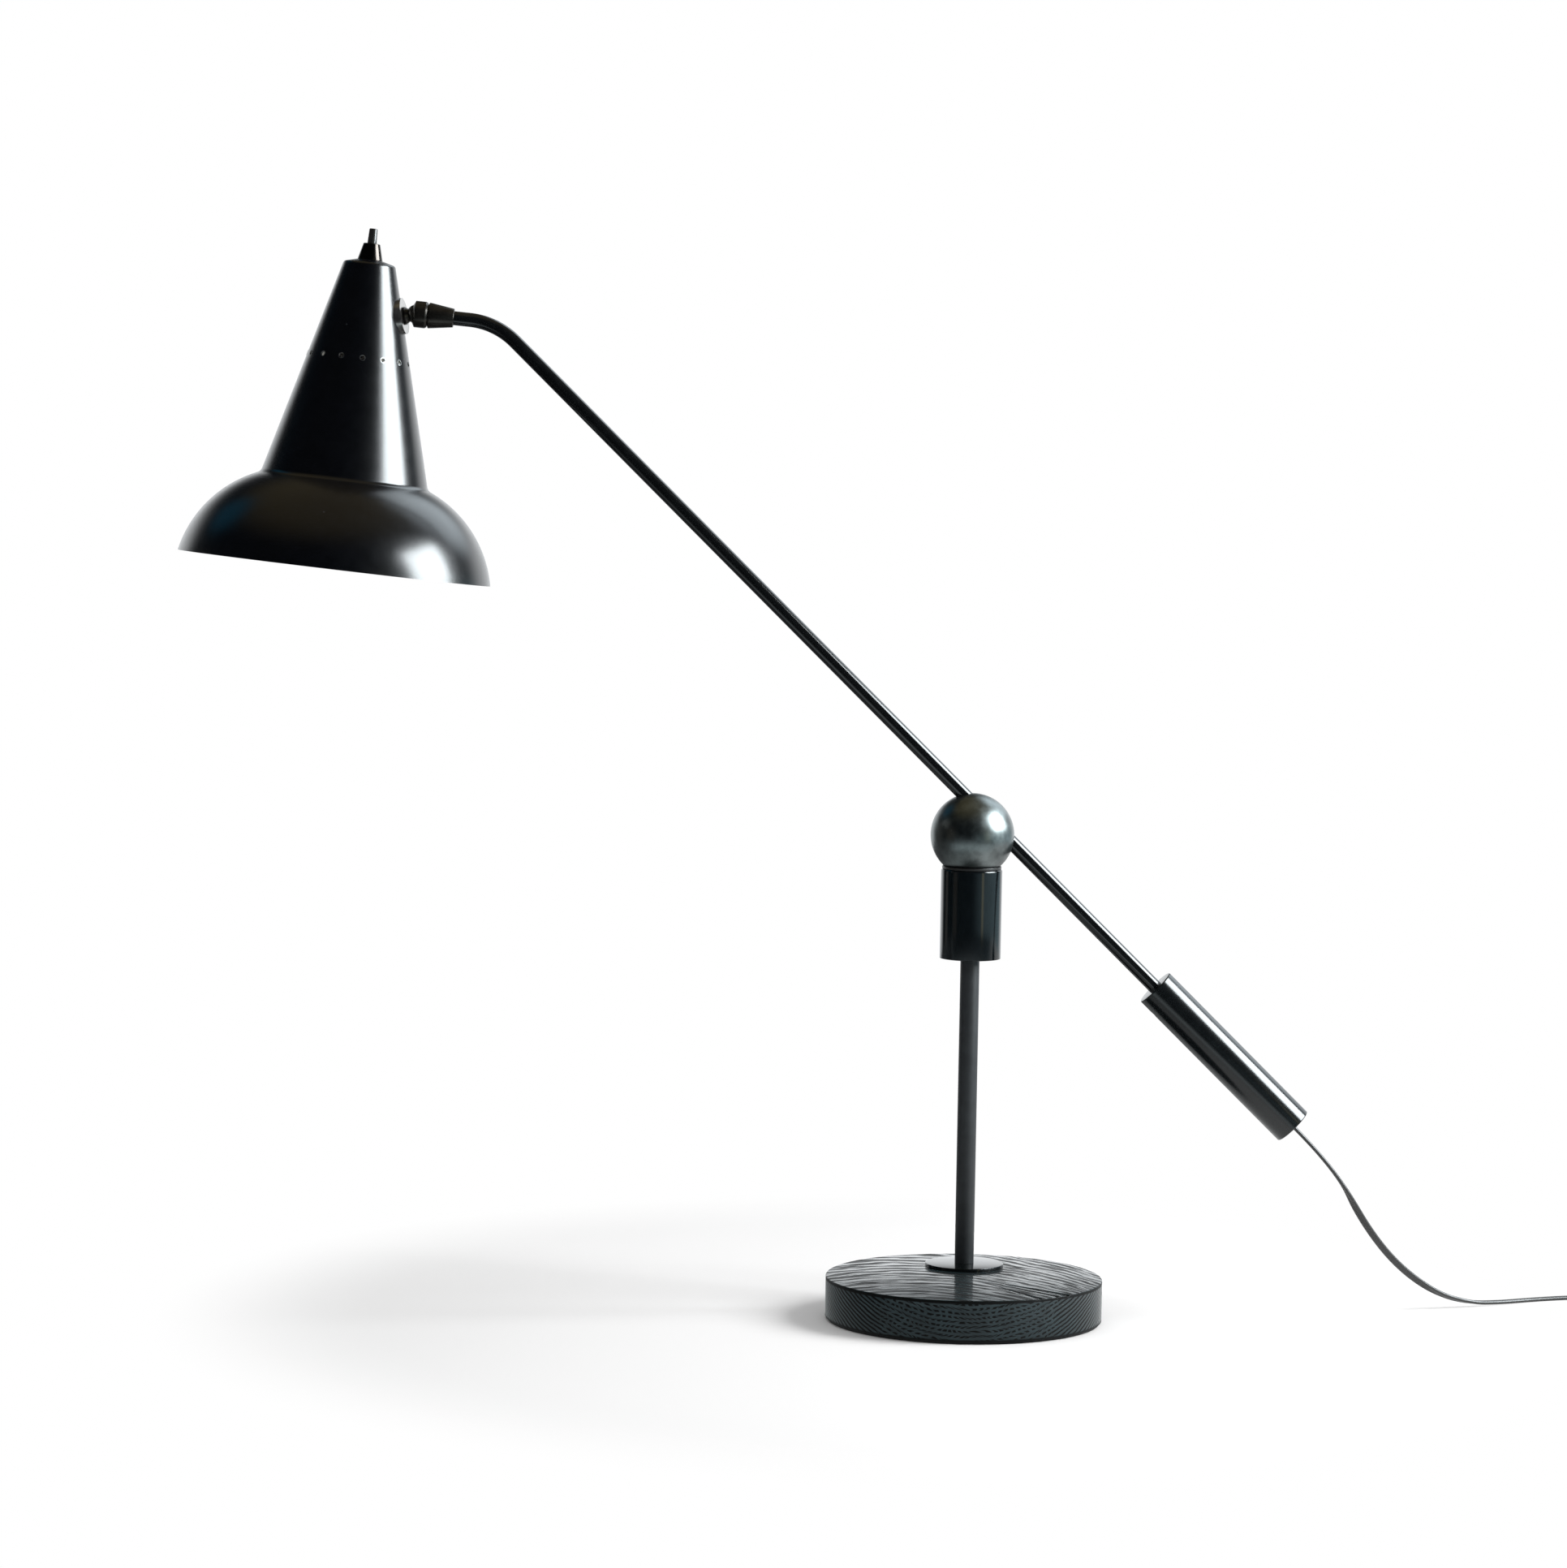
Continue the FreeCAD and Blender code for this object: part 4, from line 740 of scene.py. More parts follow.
def cut_away(piece: bpy.types.Object, cutter: Shape, matrix: Matrix) -> None:
    """Cut one shape out of a piece's mesh.

    Args:
        piece: the piece that is cut.
        cutter: the closed shape to take away.
        matrix: takes the cutter's millimetres to the row frame.
    """
    tool = put("cutter", cutter.mesh("cutter", matrix))
    modifier = piece.modifiers.new("cut", "BOOLEAN")
    modifier.operation, modifier.solver, modifier.object = "DIFFERENCE", "EXACT", tool
    graph = bpy.context.evaluated_depsgraph_get()
    result = bpy.data.meshes.new_from_object(piece.evaluated_get(graph))
    piece.modifiers.clear()
    piece.data = result
    bpy.data.objects.remove(tool)


@dataclass
class Workshop:
    """Makes the pieces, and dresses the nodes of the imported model."""

    nodes: Mapping[str, bpy.types.Object]

    def piece(self, name: str, shape: Shape, place: Place | None, finishes: Sequence[Finish],
              body: str, slot: str, stands_for: Sequence[str] = (), angle: float = 34.0,
              cutter: Shape | None = None) -> bpy.types.Object:
        """Make a piece of the lamp.

        Args:
            name: the piece's name.
            shape: its mesh, in millimetres of its place.
            place: where it is, or None for a shape in the row frame.
            finishes: a finish for each of its material slots.
            body: the body that it rides on.
            slot: the record's material slot of the piece; not used.
            stands_for: nodes that it replaces.
            angle: edges sharper than this many degrees stay sharp.
            cutter: a shape to cut out of it, in the same place.

        Returns:
            The new object.
        """
        matrix = place.matrix if place else Matrix.Scale(MM, 4)
        piece = put(name, shape.mesh(name, matrix))
        for finish in finishes:
            piece.data.materials.append(finish.material())
        if cutter:
            cut_away(piece, cutter, matrix)
        smooth(piece.data, angle)
        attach(piece, body)
        if stands_for:
            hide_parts(*stands_for)
        LOG.info("piece %s on %s", name, body)
        return piece

    def dress(self, finish: Finish, *names: str) -> None:
        """Give a finish to nodes that are shown as they are."""
        for name in names:
            mesh = self.nodes[name].data
            mesh.materials.clear()
            mesh.materials.append(finish.material())
            LOG.info("node %s in %s", name, finish.name)


@dataclass(frozen=True)
class Axes:
    """The lamp's axes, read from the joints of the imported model."""

    stem: Place
    arm: Place
    socket: Place
    stud: Place
    shade: Place
    ball: Vector

    @staticmethod
    def of(frame: Mapping[str, object]) -> Axes:
        """Read them from the frame.


        Returns:
            The axes, each with its origin where the piece's heights are counted from.
        """
        joints = {joint["name"]: joint for joint in frame["joints"]}

        def origin(name: str) -> Vector:
            """Where a joint is."""
            return Vector(joints[name]["pos_m"])

        def axis(name: str) -> Vector:
            """Which way a joint points."""
            return Vector(joints[name]["axis"])

        ball = origin("ball_tilt")
        shade_up = -axis("button_press")
        wall_out = axis("shade_turn")
        swivel = origin("swivel_tilt")
        cone = math.radians(Shade.cone_angle)
        out = (wall_out - shade_up * math.sin(cone)) / math.cos(cone)
        wall = swivel - wall_out * Shade.wall_distance * MM
        height = Shade.swivel_height * MM
        apex = wall + shade_up * height - out * height * math.tan(cone)
        return Axes(
            stem=Place(Vector((ball.x, ball.y, 0)), UP, RIGHT),
            arm=Place(origin("arm_roll"), axis("arm_roll"), UP),
            socket=Place(swivel, axis("swivel_turn"), UP),
            stud=Place(swivel, -wall_out, shade_up),
            shade=Place(apex, -shade_up, out),
            ball=ball)


# ---- base, stem and cup

@dataclass
class Base:
    """Turned oak disc with its felt, ballast and fixings."""

    radius: float = 91.2
    top: float = 28.4
    bottom: float = 1.5
    edge: float = 0.7
    recess: float = 76.0
    recess_top: float = 15.0
    chips: int = 9
    chip_seed: int = 4
    chip_angle: Step = (-64.0, -42.0)
    chip_width: Step = (0.5, 1.6)
    chip_depth: Step = (0.25, 0.6)
    chip_zone: tuple[float, float] = (1.5, 1.2)

    def disc(self) -> Shape:
        """The wooden disc, with chips out of its front edge."""
        outline = rounded([
            (self.radius, self.bottom, 0.3), (self.radius, self.top, self.edge),
            (0, self.top), (0, self.recess_top), (self.recess, self.recess_top),
            (self.recess, self.bottom)])
        shape = Shape().turned(outline, 720)
        self.chip(shape)
        return shape

    def chip(self, shape: Shape) -> None:
        """Press small dents into the front of the upper edge."""
        draw = random.Random(self.chip_seed)
        dents = []
        for _ in range(self.chips):
            angle = math.radians(draw.uniform(*self.chip_angle))
            dents.append((angle, draw.uniform(*self.chip_width), draw.uniform(*self.chip_depth)))
        across, down = self.chip_zone
        for vert in shape.verts:
            if vert.z < self.top - down or vert.xy.length < self.radius - across:
                continue
            here = math.atan2(vert.y, vert.x)
            for angle, width, depth in dents:
                far = abs(here - angle) * self.radius / width
                if far < 1:
                    vert.z -= depth * (1 - far * far)

    def build(self, shop: Workshop) -> None:
        """Make the disc and dress what is fixed to it."""
        shop.piece("base_disc", self.disc(), Place(Vector(), UP, RIGHT), [OAK], "base",
                   "stained_wood", ["wooden_base"], angle=50.0)
        shop.dress(FELT, "base_pad")
        shop.dress(ZINC, "ballast_plate", "ballast_screws", "tie_rod", "rod_nut", "lock_washer")


@dataclass
class Stem:
    """Stem tube on its flange."""

    tube: float = 6.35
    bore: float = 4.6
    hole: float = 4.3
    flange: float = 26.1
    bottom: float = 28.4
    flange_top: float = 30.6
    top: float = 235.2

    def build(self, shop: Workshop, axes: Axes) -> None:
        """Make the flange and the tube."""
        flange = rounded([(self.hole, self.bottom), (self.flange, self.bottom, 0.15),
                          (self.flange, self.flange_top, 0.4), (self.hole, self.flange_top)])
        shop.piece("stem_flange", Shape().turned(flange, 256), axes.stem, [Black.FLANGE.value],
                   "base", "black_gloss_metal", ["flange_plate"])
        tube = rounded([(self.bore, self.flange_top), (self.tube, self.flange_top, 0.2),
                        (self.tube, self.top, 0.2), (self.bore, self.top)])
        shop.piece("stem_post", Shape().turned(tube, 128), axes.stem, [Black.STEM.value],
                   "base", "black_satin_metal", ["stem_tube"])


@dataclass
class Cup:
    """Cup with its magnet, the seat ring and the ball in it."""

    radius: float = 20.4
    bottom: float = 235.2
    top: float = 294.9
    edge: float = 1.3
    bore: float = 17.7
    floor: float = 272.0
    lip: float = 19.7
    lip_bottom: float = 295.0
    lip_top: float = 296.7
    spigot: float = 17.6
    seat_bottom: float = 289.3
    seat_hole: float = 12.0
    ball: float = 27.8
    clearance: float = 0.15
    arm_bore: float = 4.77
    bore_end: float = 60.0

    def housing(self) -> Shape:
        """The cup, open at the top."""
        return Shape().turned(rounded([
            (0, self.bottom), (self.radius, self.bottom, 0.5), (self.radius, self.top, self.edge),
            (self.bore, self.top, 0.2), (self.bore, self.floor), (0, self.floor)]), 192)

    def seat(self, centre: float) -> Shape:
        """The seat ring, hollowed for the ball."""
        sphere = self.ball + self.clearance
        top = math.sqrt(sphere ** 2 - (centre - self.lip_top) ** 2)
        start = math.degrees(math.acos(top / sphere))
        end = math.degrees(math.acos(self.seat_hole / sphere))
        hollow = arc((0, centre), sphere, -start, -end, 8)
        ring = rounded([(self.spigot, self.seat_bottom), (self.spigot, self.lip_bottom),
                        (self.lip, self.lip_bottom, 0.2), (self.lip, self.lip_top, 0.3),
                        *hollow, (self.seat_hole, self.seat_bottom)])
        return Shape().turned(ring, 192)

    def build(self, shop: Workshop, axes: Axes) -> None:
        """Make the cup, the ring and the ball, and dress the magnet."""
        shop.piece("cup", self.housing(), axes.stem, [Black.CUP.value], "base",
                   "black_satin_metal", ["cup_housing"])
        shop.piece("seat_ring", self.seat(axes.ball.z / MM), axes.stem, [SEAT], "seat",
                   "seat_plastic", ["ball_seat"])
        shop.dress(ZINC, "magnet_pot", "magnet_screw")
        shop.dress(FERRITE, "ring_magnet")
        sphere = Shape().turned(arc((0, 0), self.ball, -90, 90, 96), 192, closed=False)
        offset = axes.arm.matrix.inverted() @ axes.ball
        bore = Shape().turned([(0, -self.bore_end), (self.arm_bore, -self.bore_end),
                               (self.arm_bore, self.bore_end), (0, self.bore_end)], 64)
        shop.piece("pivot", sphere.moved(offset), axes.arm, [BALL_STEEL], "ball",
                   "gunmetal_ball", ["pivot_ball"], cutter=bore)


# ---- arm

@dataclass
class Arm:
    """Bent arm tube with the counterweight on its low end."""

    radius: float = 4.7
    bore: float = 3.5
    low_end: float = 284.0
    bend_start: float = 444.5
    bend_radius: float = 49.0
    bend_steps: int = 24
    pocket: float = 11.6
    weight: float = 13.5
    weight_start: float = 157.8
    weight_end: float = 289.1
    weight_edge: float = 0.8
    cap: float = 11.5
    end_wall: float = 4.0
    screw_at: float = 170.0
    screw: float = 2.5
    screw_end: float = 30.0

    def path(self, axes: Axes) -> list[Vector]:
        """Centre line in metres, from the counterweight to the swivel."""
        down = axes.arm.z.normalized()
        side = (axes.arm.hint - down * axes.arm.hint.dot(down)).normalized()
        end = axes.socket.z.normalized()
        turn = down.angle(end)
        start = axes.arm.at(-self.bend_start)
        centre = start - side * self.bend_radius * MM
        points = [axes.arm.at(self.low_end), axes.arm.at(0.0), start]
        for step in range(1, self.bend_steps + 1):
            angle = turn * step / self.bend_steps
            ray = side * math.cos(angle) - down * math.sin(angle)
            points.append(centre + ray * self.bend_radius * MM)
        points.append(axes.socket.at(self.pocket))
        return points

    def tube(self, axes: Axes, radius: float) -> list[list[Vector]]:
        """Round sections along the centre line, in millimetres of the row frame."""
        points = self.path(axes)
        sections = []
        for n, point in enumerate(points):
            before, after = points[max(n - 1, 0)], points[min(n + 1, len(points) - 1)]
            side = (after - before).normalized().cross(BACK)
            sections.append(circle(point / MM, BACK, side, radius, 48))
        return sections

    def build(self, shop: Workshop, axes: Axes) -> None:
        """Make the tube and the counterweight, and dress what is in them."""
        outside = self.tube(axes, self.radius)
        inside = self.tube(axes, self.bore)
        wall = outside + list(reversed(inside)) + [outside[0]]
        shop.piece("arm", Shape().lofted(wall, capped=False), None, [Black.ARM.value], "arm",
                   "black_satin_metal", ["arm_tube"])
        hollow, wall_end = self.radius + GAP, self.weight_start + self.end_wall
        sleeve = rounded([
            (hollow, self.weight_start), (self.weight, self.weight_start, self.weight_edge),
            (self.weight, self.weight_end, self.weight_edge), (self.cap, self.weight_end),
            (self.cap, wall_end), (hollow, wall_end)])
        hole = Shape().turned([(0, -self.screw_end), (self.screw, -self.screw_end),
                               (self.screw, -self.radius), (0, -self.radius)], 48)
        hole.verts = [Vector((v.z, v.y, self.screw_at + v.x)) for v in hole.verts]
        shop.piece("counterweight", Shape().turned(sleeve, 160), axes.arm,
                   [Black.WEIGHT.value], "arm", "black_satin_metal", ["counterweight_shell"],
                   cutter=hole)
        shop.dress(Black.WEIGHT.value, "counterweight_cap")
        shop.dress(LEAD_METAL, "counterweight_core")
        shop.dress(ZINC, "counterweight_screw")
        shop.dress(SHEATH, "inner_cord")
        shop.dress(SEAT, "cord_bush")


# ---- swivel

@dataclass
class Swivel:
    """Ball swivel between the arm and the shade."""

    ball: float = 6.3
    clearance: float = 0.12
    collar: float = 8.8
    collar_face: float = -2.0
    collar_face_radius: float = 6.5
    chamfer_end: float = -0.75
    collar_end: float = 7.4
    bevel: float = 0.7
    bevel_length: float = 1.3
    step: float = 3.3
    spigot: float = 7.25
    spigot_bore: float = 6.45
    spring_floor: float = 7.7
    socket_start: float = 8.0
    socket: float = 8.65
    socket_end: float = 25.0
    socket_small: float = 6.2
    pocket: float = 11.6
    wire_hole: float = 2.8
    neck: float = 4.2
    neck_end: float = 4.6
    stud: float = 5.9
    crests: int = 3
    crest: tuple[Point, ...] = ((0.4, 0.0), (0.0, 0.35), (0.0, 0.65))
    flare_end: float = 6.7
    stud_face: float = 7.88
    shank: float = 3.9
    shank_end: float = 17.0
    stud_bore: float = 2.0

    def collar_shape(self) -> Shape:
        """The clamping collar."""
        sphere = self.ball + self.clearance
        face = math.degrees(math.asin(self.collar_face / sphere))
        lip = arc((0, 0), sphere, 0, face, 5)
        outline = rounded([
            (self.collar_face_radius, self.collar_face, 0.15),
            (self.collar, self.chamfer_end, 0.3),
            (self.collar, self.collar_end - self.bevel_length, 0.25),
            (self.collar - self.bevel, self.collar_end, 0.15),
            (self.spigot + GAP, self.collar_end), (self.spigot + GAP, self.step),
            (sphere, self.step), *lip], 3)
        return Shape().turned(outline, 96)

    def socket_shape(self, arm: float) -> Shape:
        """The tapered socket with its spigot."""
        return Shape().turned(rounded([
            (self.wire_hole, self.spring_floor), (self.spigot_bore, self.spring_floor),
            (self.spigot_bore, self.step + GAP), (self.spigot, self.step + GAP),
            (self.spigot, self.socket_start), (self.socket, self.socket_start, 0.8),
            (self.socket_small, self.socket_end - 0.3, 0.3),
            (self.socket_small - 0.5, self.socket_end, 0.1),
            (arm + GAP, self.socket_end), (arm + GAP, self.pocket),
            (self.wire_hole, self.pocket)], 4), 96)

    def stud_shape(self) -> Shape:
        """Ball, neck, thread crests and shank."""
        start = math.degrees(math.acos(self.stud_bore / self.ball))
        end = math.degrees(math.acos(self.neck / self.ball))
        ball = arc((0, 0), self.ball, -start, end, 24)
        outline = ball + [(self.neck, self.neck_end)]
        pitch = (self.stud_face - self.flare_end) / self.crests
        for n in range(self.crests):
            outline += ridge(self.stud, self.flare_end + n * pitch, pitch, self.crest)
        outline += ridge(self.stud, self.stud_face, pitch, self.crest[:1])
        outline += [(self.shank, self.stud_face), (self.shank, self.shank_end),
                    (self.stud_bore, self.shank_end)]
        return Shape().turned(outline, 72)

    def build(self, shop: Workshop, axes: Axes, arm_radius: float) -> None:
        """Make the swivel's pieces."""
        shop.piece("swivel_nut", self.collar_shape(), axes.socket, [OXIDE], "arm",
                   "oxide_steel", ["swivel_collar"])
        shop.piece("arm_socket", self.socket_shape(arm_radius), axes.socket, [OXIDE], "arm",
                   "oxide_steel", ["swivel_socket"])
        shop.piece("swivel_ball", self.stud_shape(), axes.stud, [OXIDE], "swivel_stud",
                   "oxide_steel", ["ball_stud"], angle=28.0)
        shop.dress(ZINC, "swivel_spring", "stud_nut")
        shop.dress(SEAT, "swivel_seat")


# ---- shade

@dataclass
class Shade:
    """Spun shade with its vents, washers, switch and lampholder."""

    cone_angle: float = 14.87
    wall_distance: float = 9.9
    swivel_height: float = 96.6
    sheet: float = 0.8
    cap: float = 62.2
    cap_flat: float = 9.0
    cap_edge: float = 17.1
    cap_edge_height: float = 64.5
    cap_round: float = 2.3
    cap_dish: float = 6.0
    shoulder_end: float = 67.5
    bowl_centre: Point = (26.3, 281.9)
    bowl: float = 78.88
    crease: float = 5.0
    rim: float = 266.4
    vents: int = 15
    vent: float = 1.6
    vent_height: float = 127.5
    rim_width: float = 0.34
    rim_proud: float = 0.1
    rim_depth: float = 0.5
    neck: float = 4.93
    hole: float = 4.02
    drill_reach: float = 4.0
    drill_side: float = 3.0

    def side(self, inset: float) -> list[Point]:
        """Wall line from the end of the shoulder to the rim.

        Args:
            inset: how far inside the outer face it runs.

        Returns:
            Its points, downwards.
        """
        angle = math.radians(self.cone_angle)
        slope, cos = math.tan(angle), math.cos(angle)
        out = self.crease / cos
        base = out - self.bowl_centre[0]
        half = slope * base - self.bowl_centre[1]
        reach = (self.bowl + self.crease) ** 2
        rest = self.bowl_centre[1] ** 2 + base ** 2 - reach
        square = 1 + slope ** 2
        height = (-half - math.sqrt(half * half - square * rest)) / square
        centre = (slope * height + out, height)
        towards = math.atan2(self.bowl_centre[1] - centre[1], self.bowl_centre[0] - centre[0])
        crease = arc(centre, self.crease + inset, 180 - self.cone_angle,
                     math.degrees(towards), 8)
        start = -180 + math.degrees(towards)
        end = math.degrees(math.asin((self.rim - self.bowl_centre[1]) / (self.bowl - inset)))
        bowl = arc(self.bowl_centre, self.bowl - inset, start, end, 40)
        top = (self.shoulder_end * slope - inset / cos, self.shoulder_end)
        return [top] + crease + bowl[1:]

    def shell(self) -> Shape:
        """The spun shell, black outside and white inside."""
        inner = list(reversed(self.side(self.sheet)))
        t = self.sheet
        outline = rounded([
            (self.neck, self.cap), (self.cap_flat, self.cap, self.cap_dish),
            (self.cap_edge, self.cap_edge_height, self.cap_round), *self.side(0.0), *inner,
            (self.cap_edge - t, self.cap_edge_height + t, self.cap_round - t),
            (self.cap_flat, self.cap + t, self.cap_dish), (self.neck, self.cap + t)], 6)
        inside = outline.index(inner[0])
        return Shape().turned(outline, 288, slot_of={0: 0, inside: 1, len(outline) - 1: 0})

    def vent_places(self) -> Iterator[tuple[Vector, Vector, Vector]]:
        """Middle, outward way and direction round the shade of each vent."""
        angle = math.radians(self.cone_angle)
        for number in range(self.vents):
            turn = math.tau / self.vents * number
            out = Vector((math.cos(turn), math.sin(turn), 0))
            middle = out * self.vent_height * math.tan(angle) + UP * self.vent_height
            yield (middle, out * math.cos(angle) - UP * math.sin(angle),
                   Vector((-out.y, out.x, 0)))

    def holes(self, axes: Axes) -> Shape:
        """Cutters of the vents and of the hole for the swivel's shank."""
        cutter = Shape()
        for middle, way, _ in self.vent_places():
            self.drill(cutter, middle, way, self.vent)
        local = axes.shade.matrix.inverted() @ axes.stud.matrix
        start = local @ (UP * (self.wall_distance - self.drill_side))
        end = local @ (UP * (self.wall_distance + self.drill_side))
        way = (start - end).normalized()
        self.drill(cutter, start - way * self.drill_side, way, self.hole)
        return cutter

    def rims(self) -> Shape:
        """Light grey rings round the vents: a painted highlight for the lit edges of the holes."""
        outer, inner = self.vent + self.rim_width, self.vent - 0.02
        low, high = -self.rim_depth, self.rim_proud
        profile = ((outer, low), (outer, high), (inner, high), (inner, low), (outer, low))
        rims = Shape()
        for middle, way, across in self.vent_places():
            rims.lofted([circle(middle + way * height, across, way.cross(across), radius, 24)
                         for radius, height in profile], capped=False)
        return rims

    def drill(self, cutter: Shape, middle: Vector, way: Vector, radius: float) -> None:
        """Add a closed cylinder through a point to a cutter."""
        across = way.cross(UP).normalized()
        cutter.lofted([circle(middle + way * end, across, way.cross(across), radius, 28)
                       for end in (-self.drill_reach, self.drill_reach)])

    def build(self, shop: Workshop, axes: Axes) -> None:
        """Make the shell and dress the washers."""
        shop.piece("shade", self.shell(), axes.shade, [Black.SHADE.value, WHITE_INSIDE],
                   "shade", "shade_enamel", ["shade_cone", "shade_bowl", "shade_rim"],
                   angle=40.0, cutter=self.holes(axes))
        # The vent rims carry a painted highlight round the holes' edges.
        shop.piece("vent_rims", self.rims(), axes.shade, [VENT_HIGHLIGHT], "shade", "shade_enamel")
        shop.dress(WASHER, "saddle_washer")
        shop.dress(ZINC, "inner_washer", "switch_washer")


@dataclass
class Switch:
    """Push switch on top of the shade."""

    neck: float = 4.93
    base: float = 62.2
    top: float = 51.3
    base_radius: float = 8.4
    top_radius: float = 5.5
    guide: float = 3.18
    button: float = 3.1
    button_tip: float = 2.75
    button_top: float = 41.4
    button_end: float = 62.0
    shaft: float = 2.5
    shaft_end: float = 70.0
    wall: float = 1.6

    def build(self, shop: Workshop, axes: Axes) -> None:
        """Make the ferrule and the button, and dress the switch."""
        ferrule = rounded([
            (self.neck, self.base), (self.base_radius, self.base, 0.25),
            (self.top_radius + 0.1, self.top + 0.2, 0.3), (self.top_radius - 0.4, self.top, 0.1),
            (self.guide, self.top), (self.guide, self.top + self.wall),
            (self.neck, self.top + self.wall)], 4)
        shop.piece("ferrule", Shape().turned(ferrule, 96), axes.shade, [BRONZE], "shade",
                   "bronze_ferrule", ["switch_ferrule"])
        button = rounded([
            (0, self.button_top), (self.button_tip, self.button_top, 0.7),
            (self.button, self.top - 0.5, 3.0), (self.button, self.button_end, 0.2),
            (self.shaft, self.button_end), (self.shaft, self.shaft_end), (0, self.shaft_end)])
        shop.piece("push_button", Shape().turned(button, 64), axes.shade, [BUTTON], "button",
                   "button_plastic", ["switch_plunger"])
        shop.dress(BAKELITE, "switch_body")


@dataclass
class Lampholder:
    """Lampholder on its strap, with the bulb in it."""

    radius: float = 14.5
    wall: float = 1.6
    seam: float = 112.0
    end: float = 146.0
    margin: float = 4.0
    ridges: int = 7
    thread: tuple[Point, ...] = ((0.45, 0.3), (0.45, 0.55), (0.0, 0.8), (0.0, 1.0))

    def skirt(self) -> Shape:
        """Lower sleeve, with a moulded thread on its outside."""
        inner = self.radius - self.wall
        outline = [(inner, self.seam), (self.radius - 0.2, self.seam),
                   (self.radius, self.seam + 0.4), (self.radius, self.seam + self.margin)]
        pitch = (self.end - self.seam - 2 * self.margin) / self.ridges
        for n in range(self.ridges):
            low = self.seam + self.margin + n * pitch
            outline += ridge(self.radius, low, pitch, self.thread)
        outline += [(self.radius, self.end - 0.5), (self.radius - 0.5, self.end),
                    (inner + 0.3, self.end), (inner, self.end - 0.3)]
        return Shape().turned(outline, 120)

    def build(self, shop: Workshop, axes: Axes) -> None:
        """Make the skirt, and dress the holder, its wires and the bulb."""
        shop.piece("holder_skirt", self.skirt(), axes.shade, [BAKELITE], "shade",
                   "switch_plastic", ["lampholder_skirt"], angle=25.0)
        shop.dress(BAKELITE, "lampholder_cap")
        shop.dress(CERAMIC, "lampholder_insert")
        shop.dress(ZINC, "lampholder_bracket", "lampholder_nipple")
        shop.dress(BRASS, "thread_shell", "centre_contact", "bulb_cap", "bulb_contact",
                   "plug_pins")
        shop.dress(WIRE, "shade_wires")
        shop.dress(OPAL, "bulb_glass")


# ---- lead and plug

def nurbs_points(points: Sequence[Vector]) -> list[Vector]:
    """Points along the NURBS spline that has these control points."""
    curve = bpy.data.curves.new("route", "CURVE")
    curve.dimensions = "3D"
    curve.resolution_u = 10
    spline = curve.splines.new("NURBS")
    spline.points.add(len(points) - 1)
    for control, point in zip(spline.points, points):
        control.co = (*point, 1.0)
    spline.order_u = 3
    spline.use_endpoint_u = True
    route = put("route", curve)
    graph = bpy.context.evaluated_depsgraph_get()
    mesh = bpy.data.meshes.new_from_object(route.evaluated_get(graph))
    line = [vert.co.copy() for vert in mesh.vertices]
    bpy.data.objects.remove(route)
    bpy.data.meshes.remove(mesh)
    return line


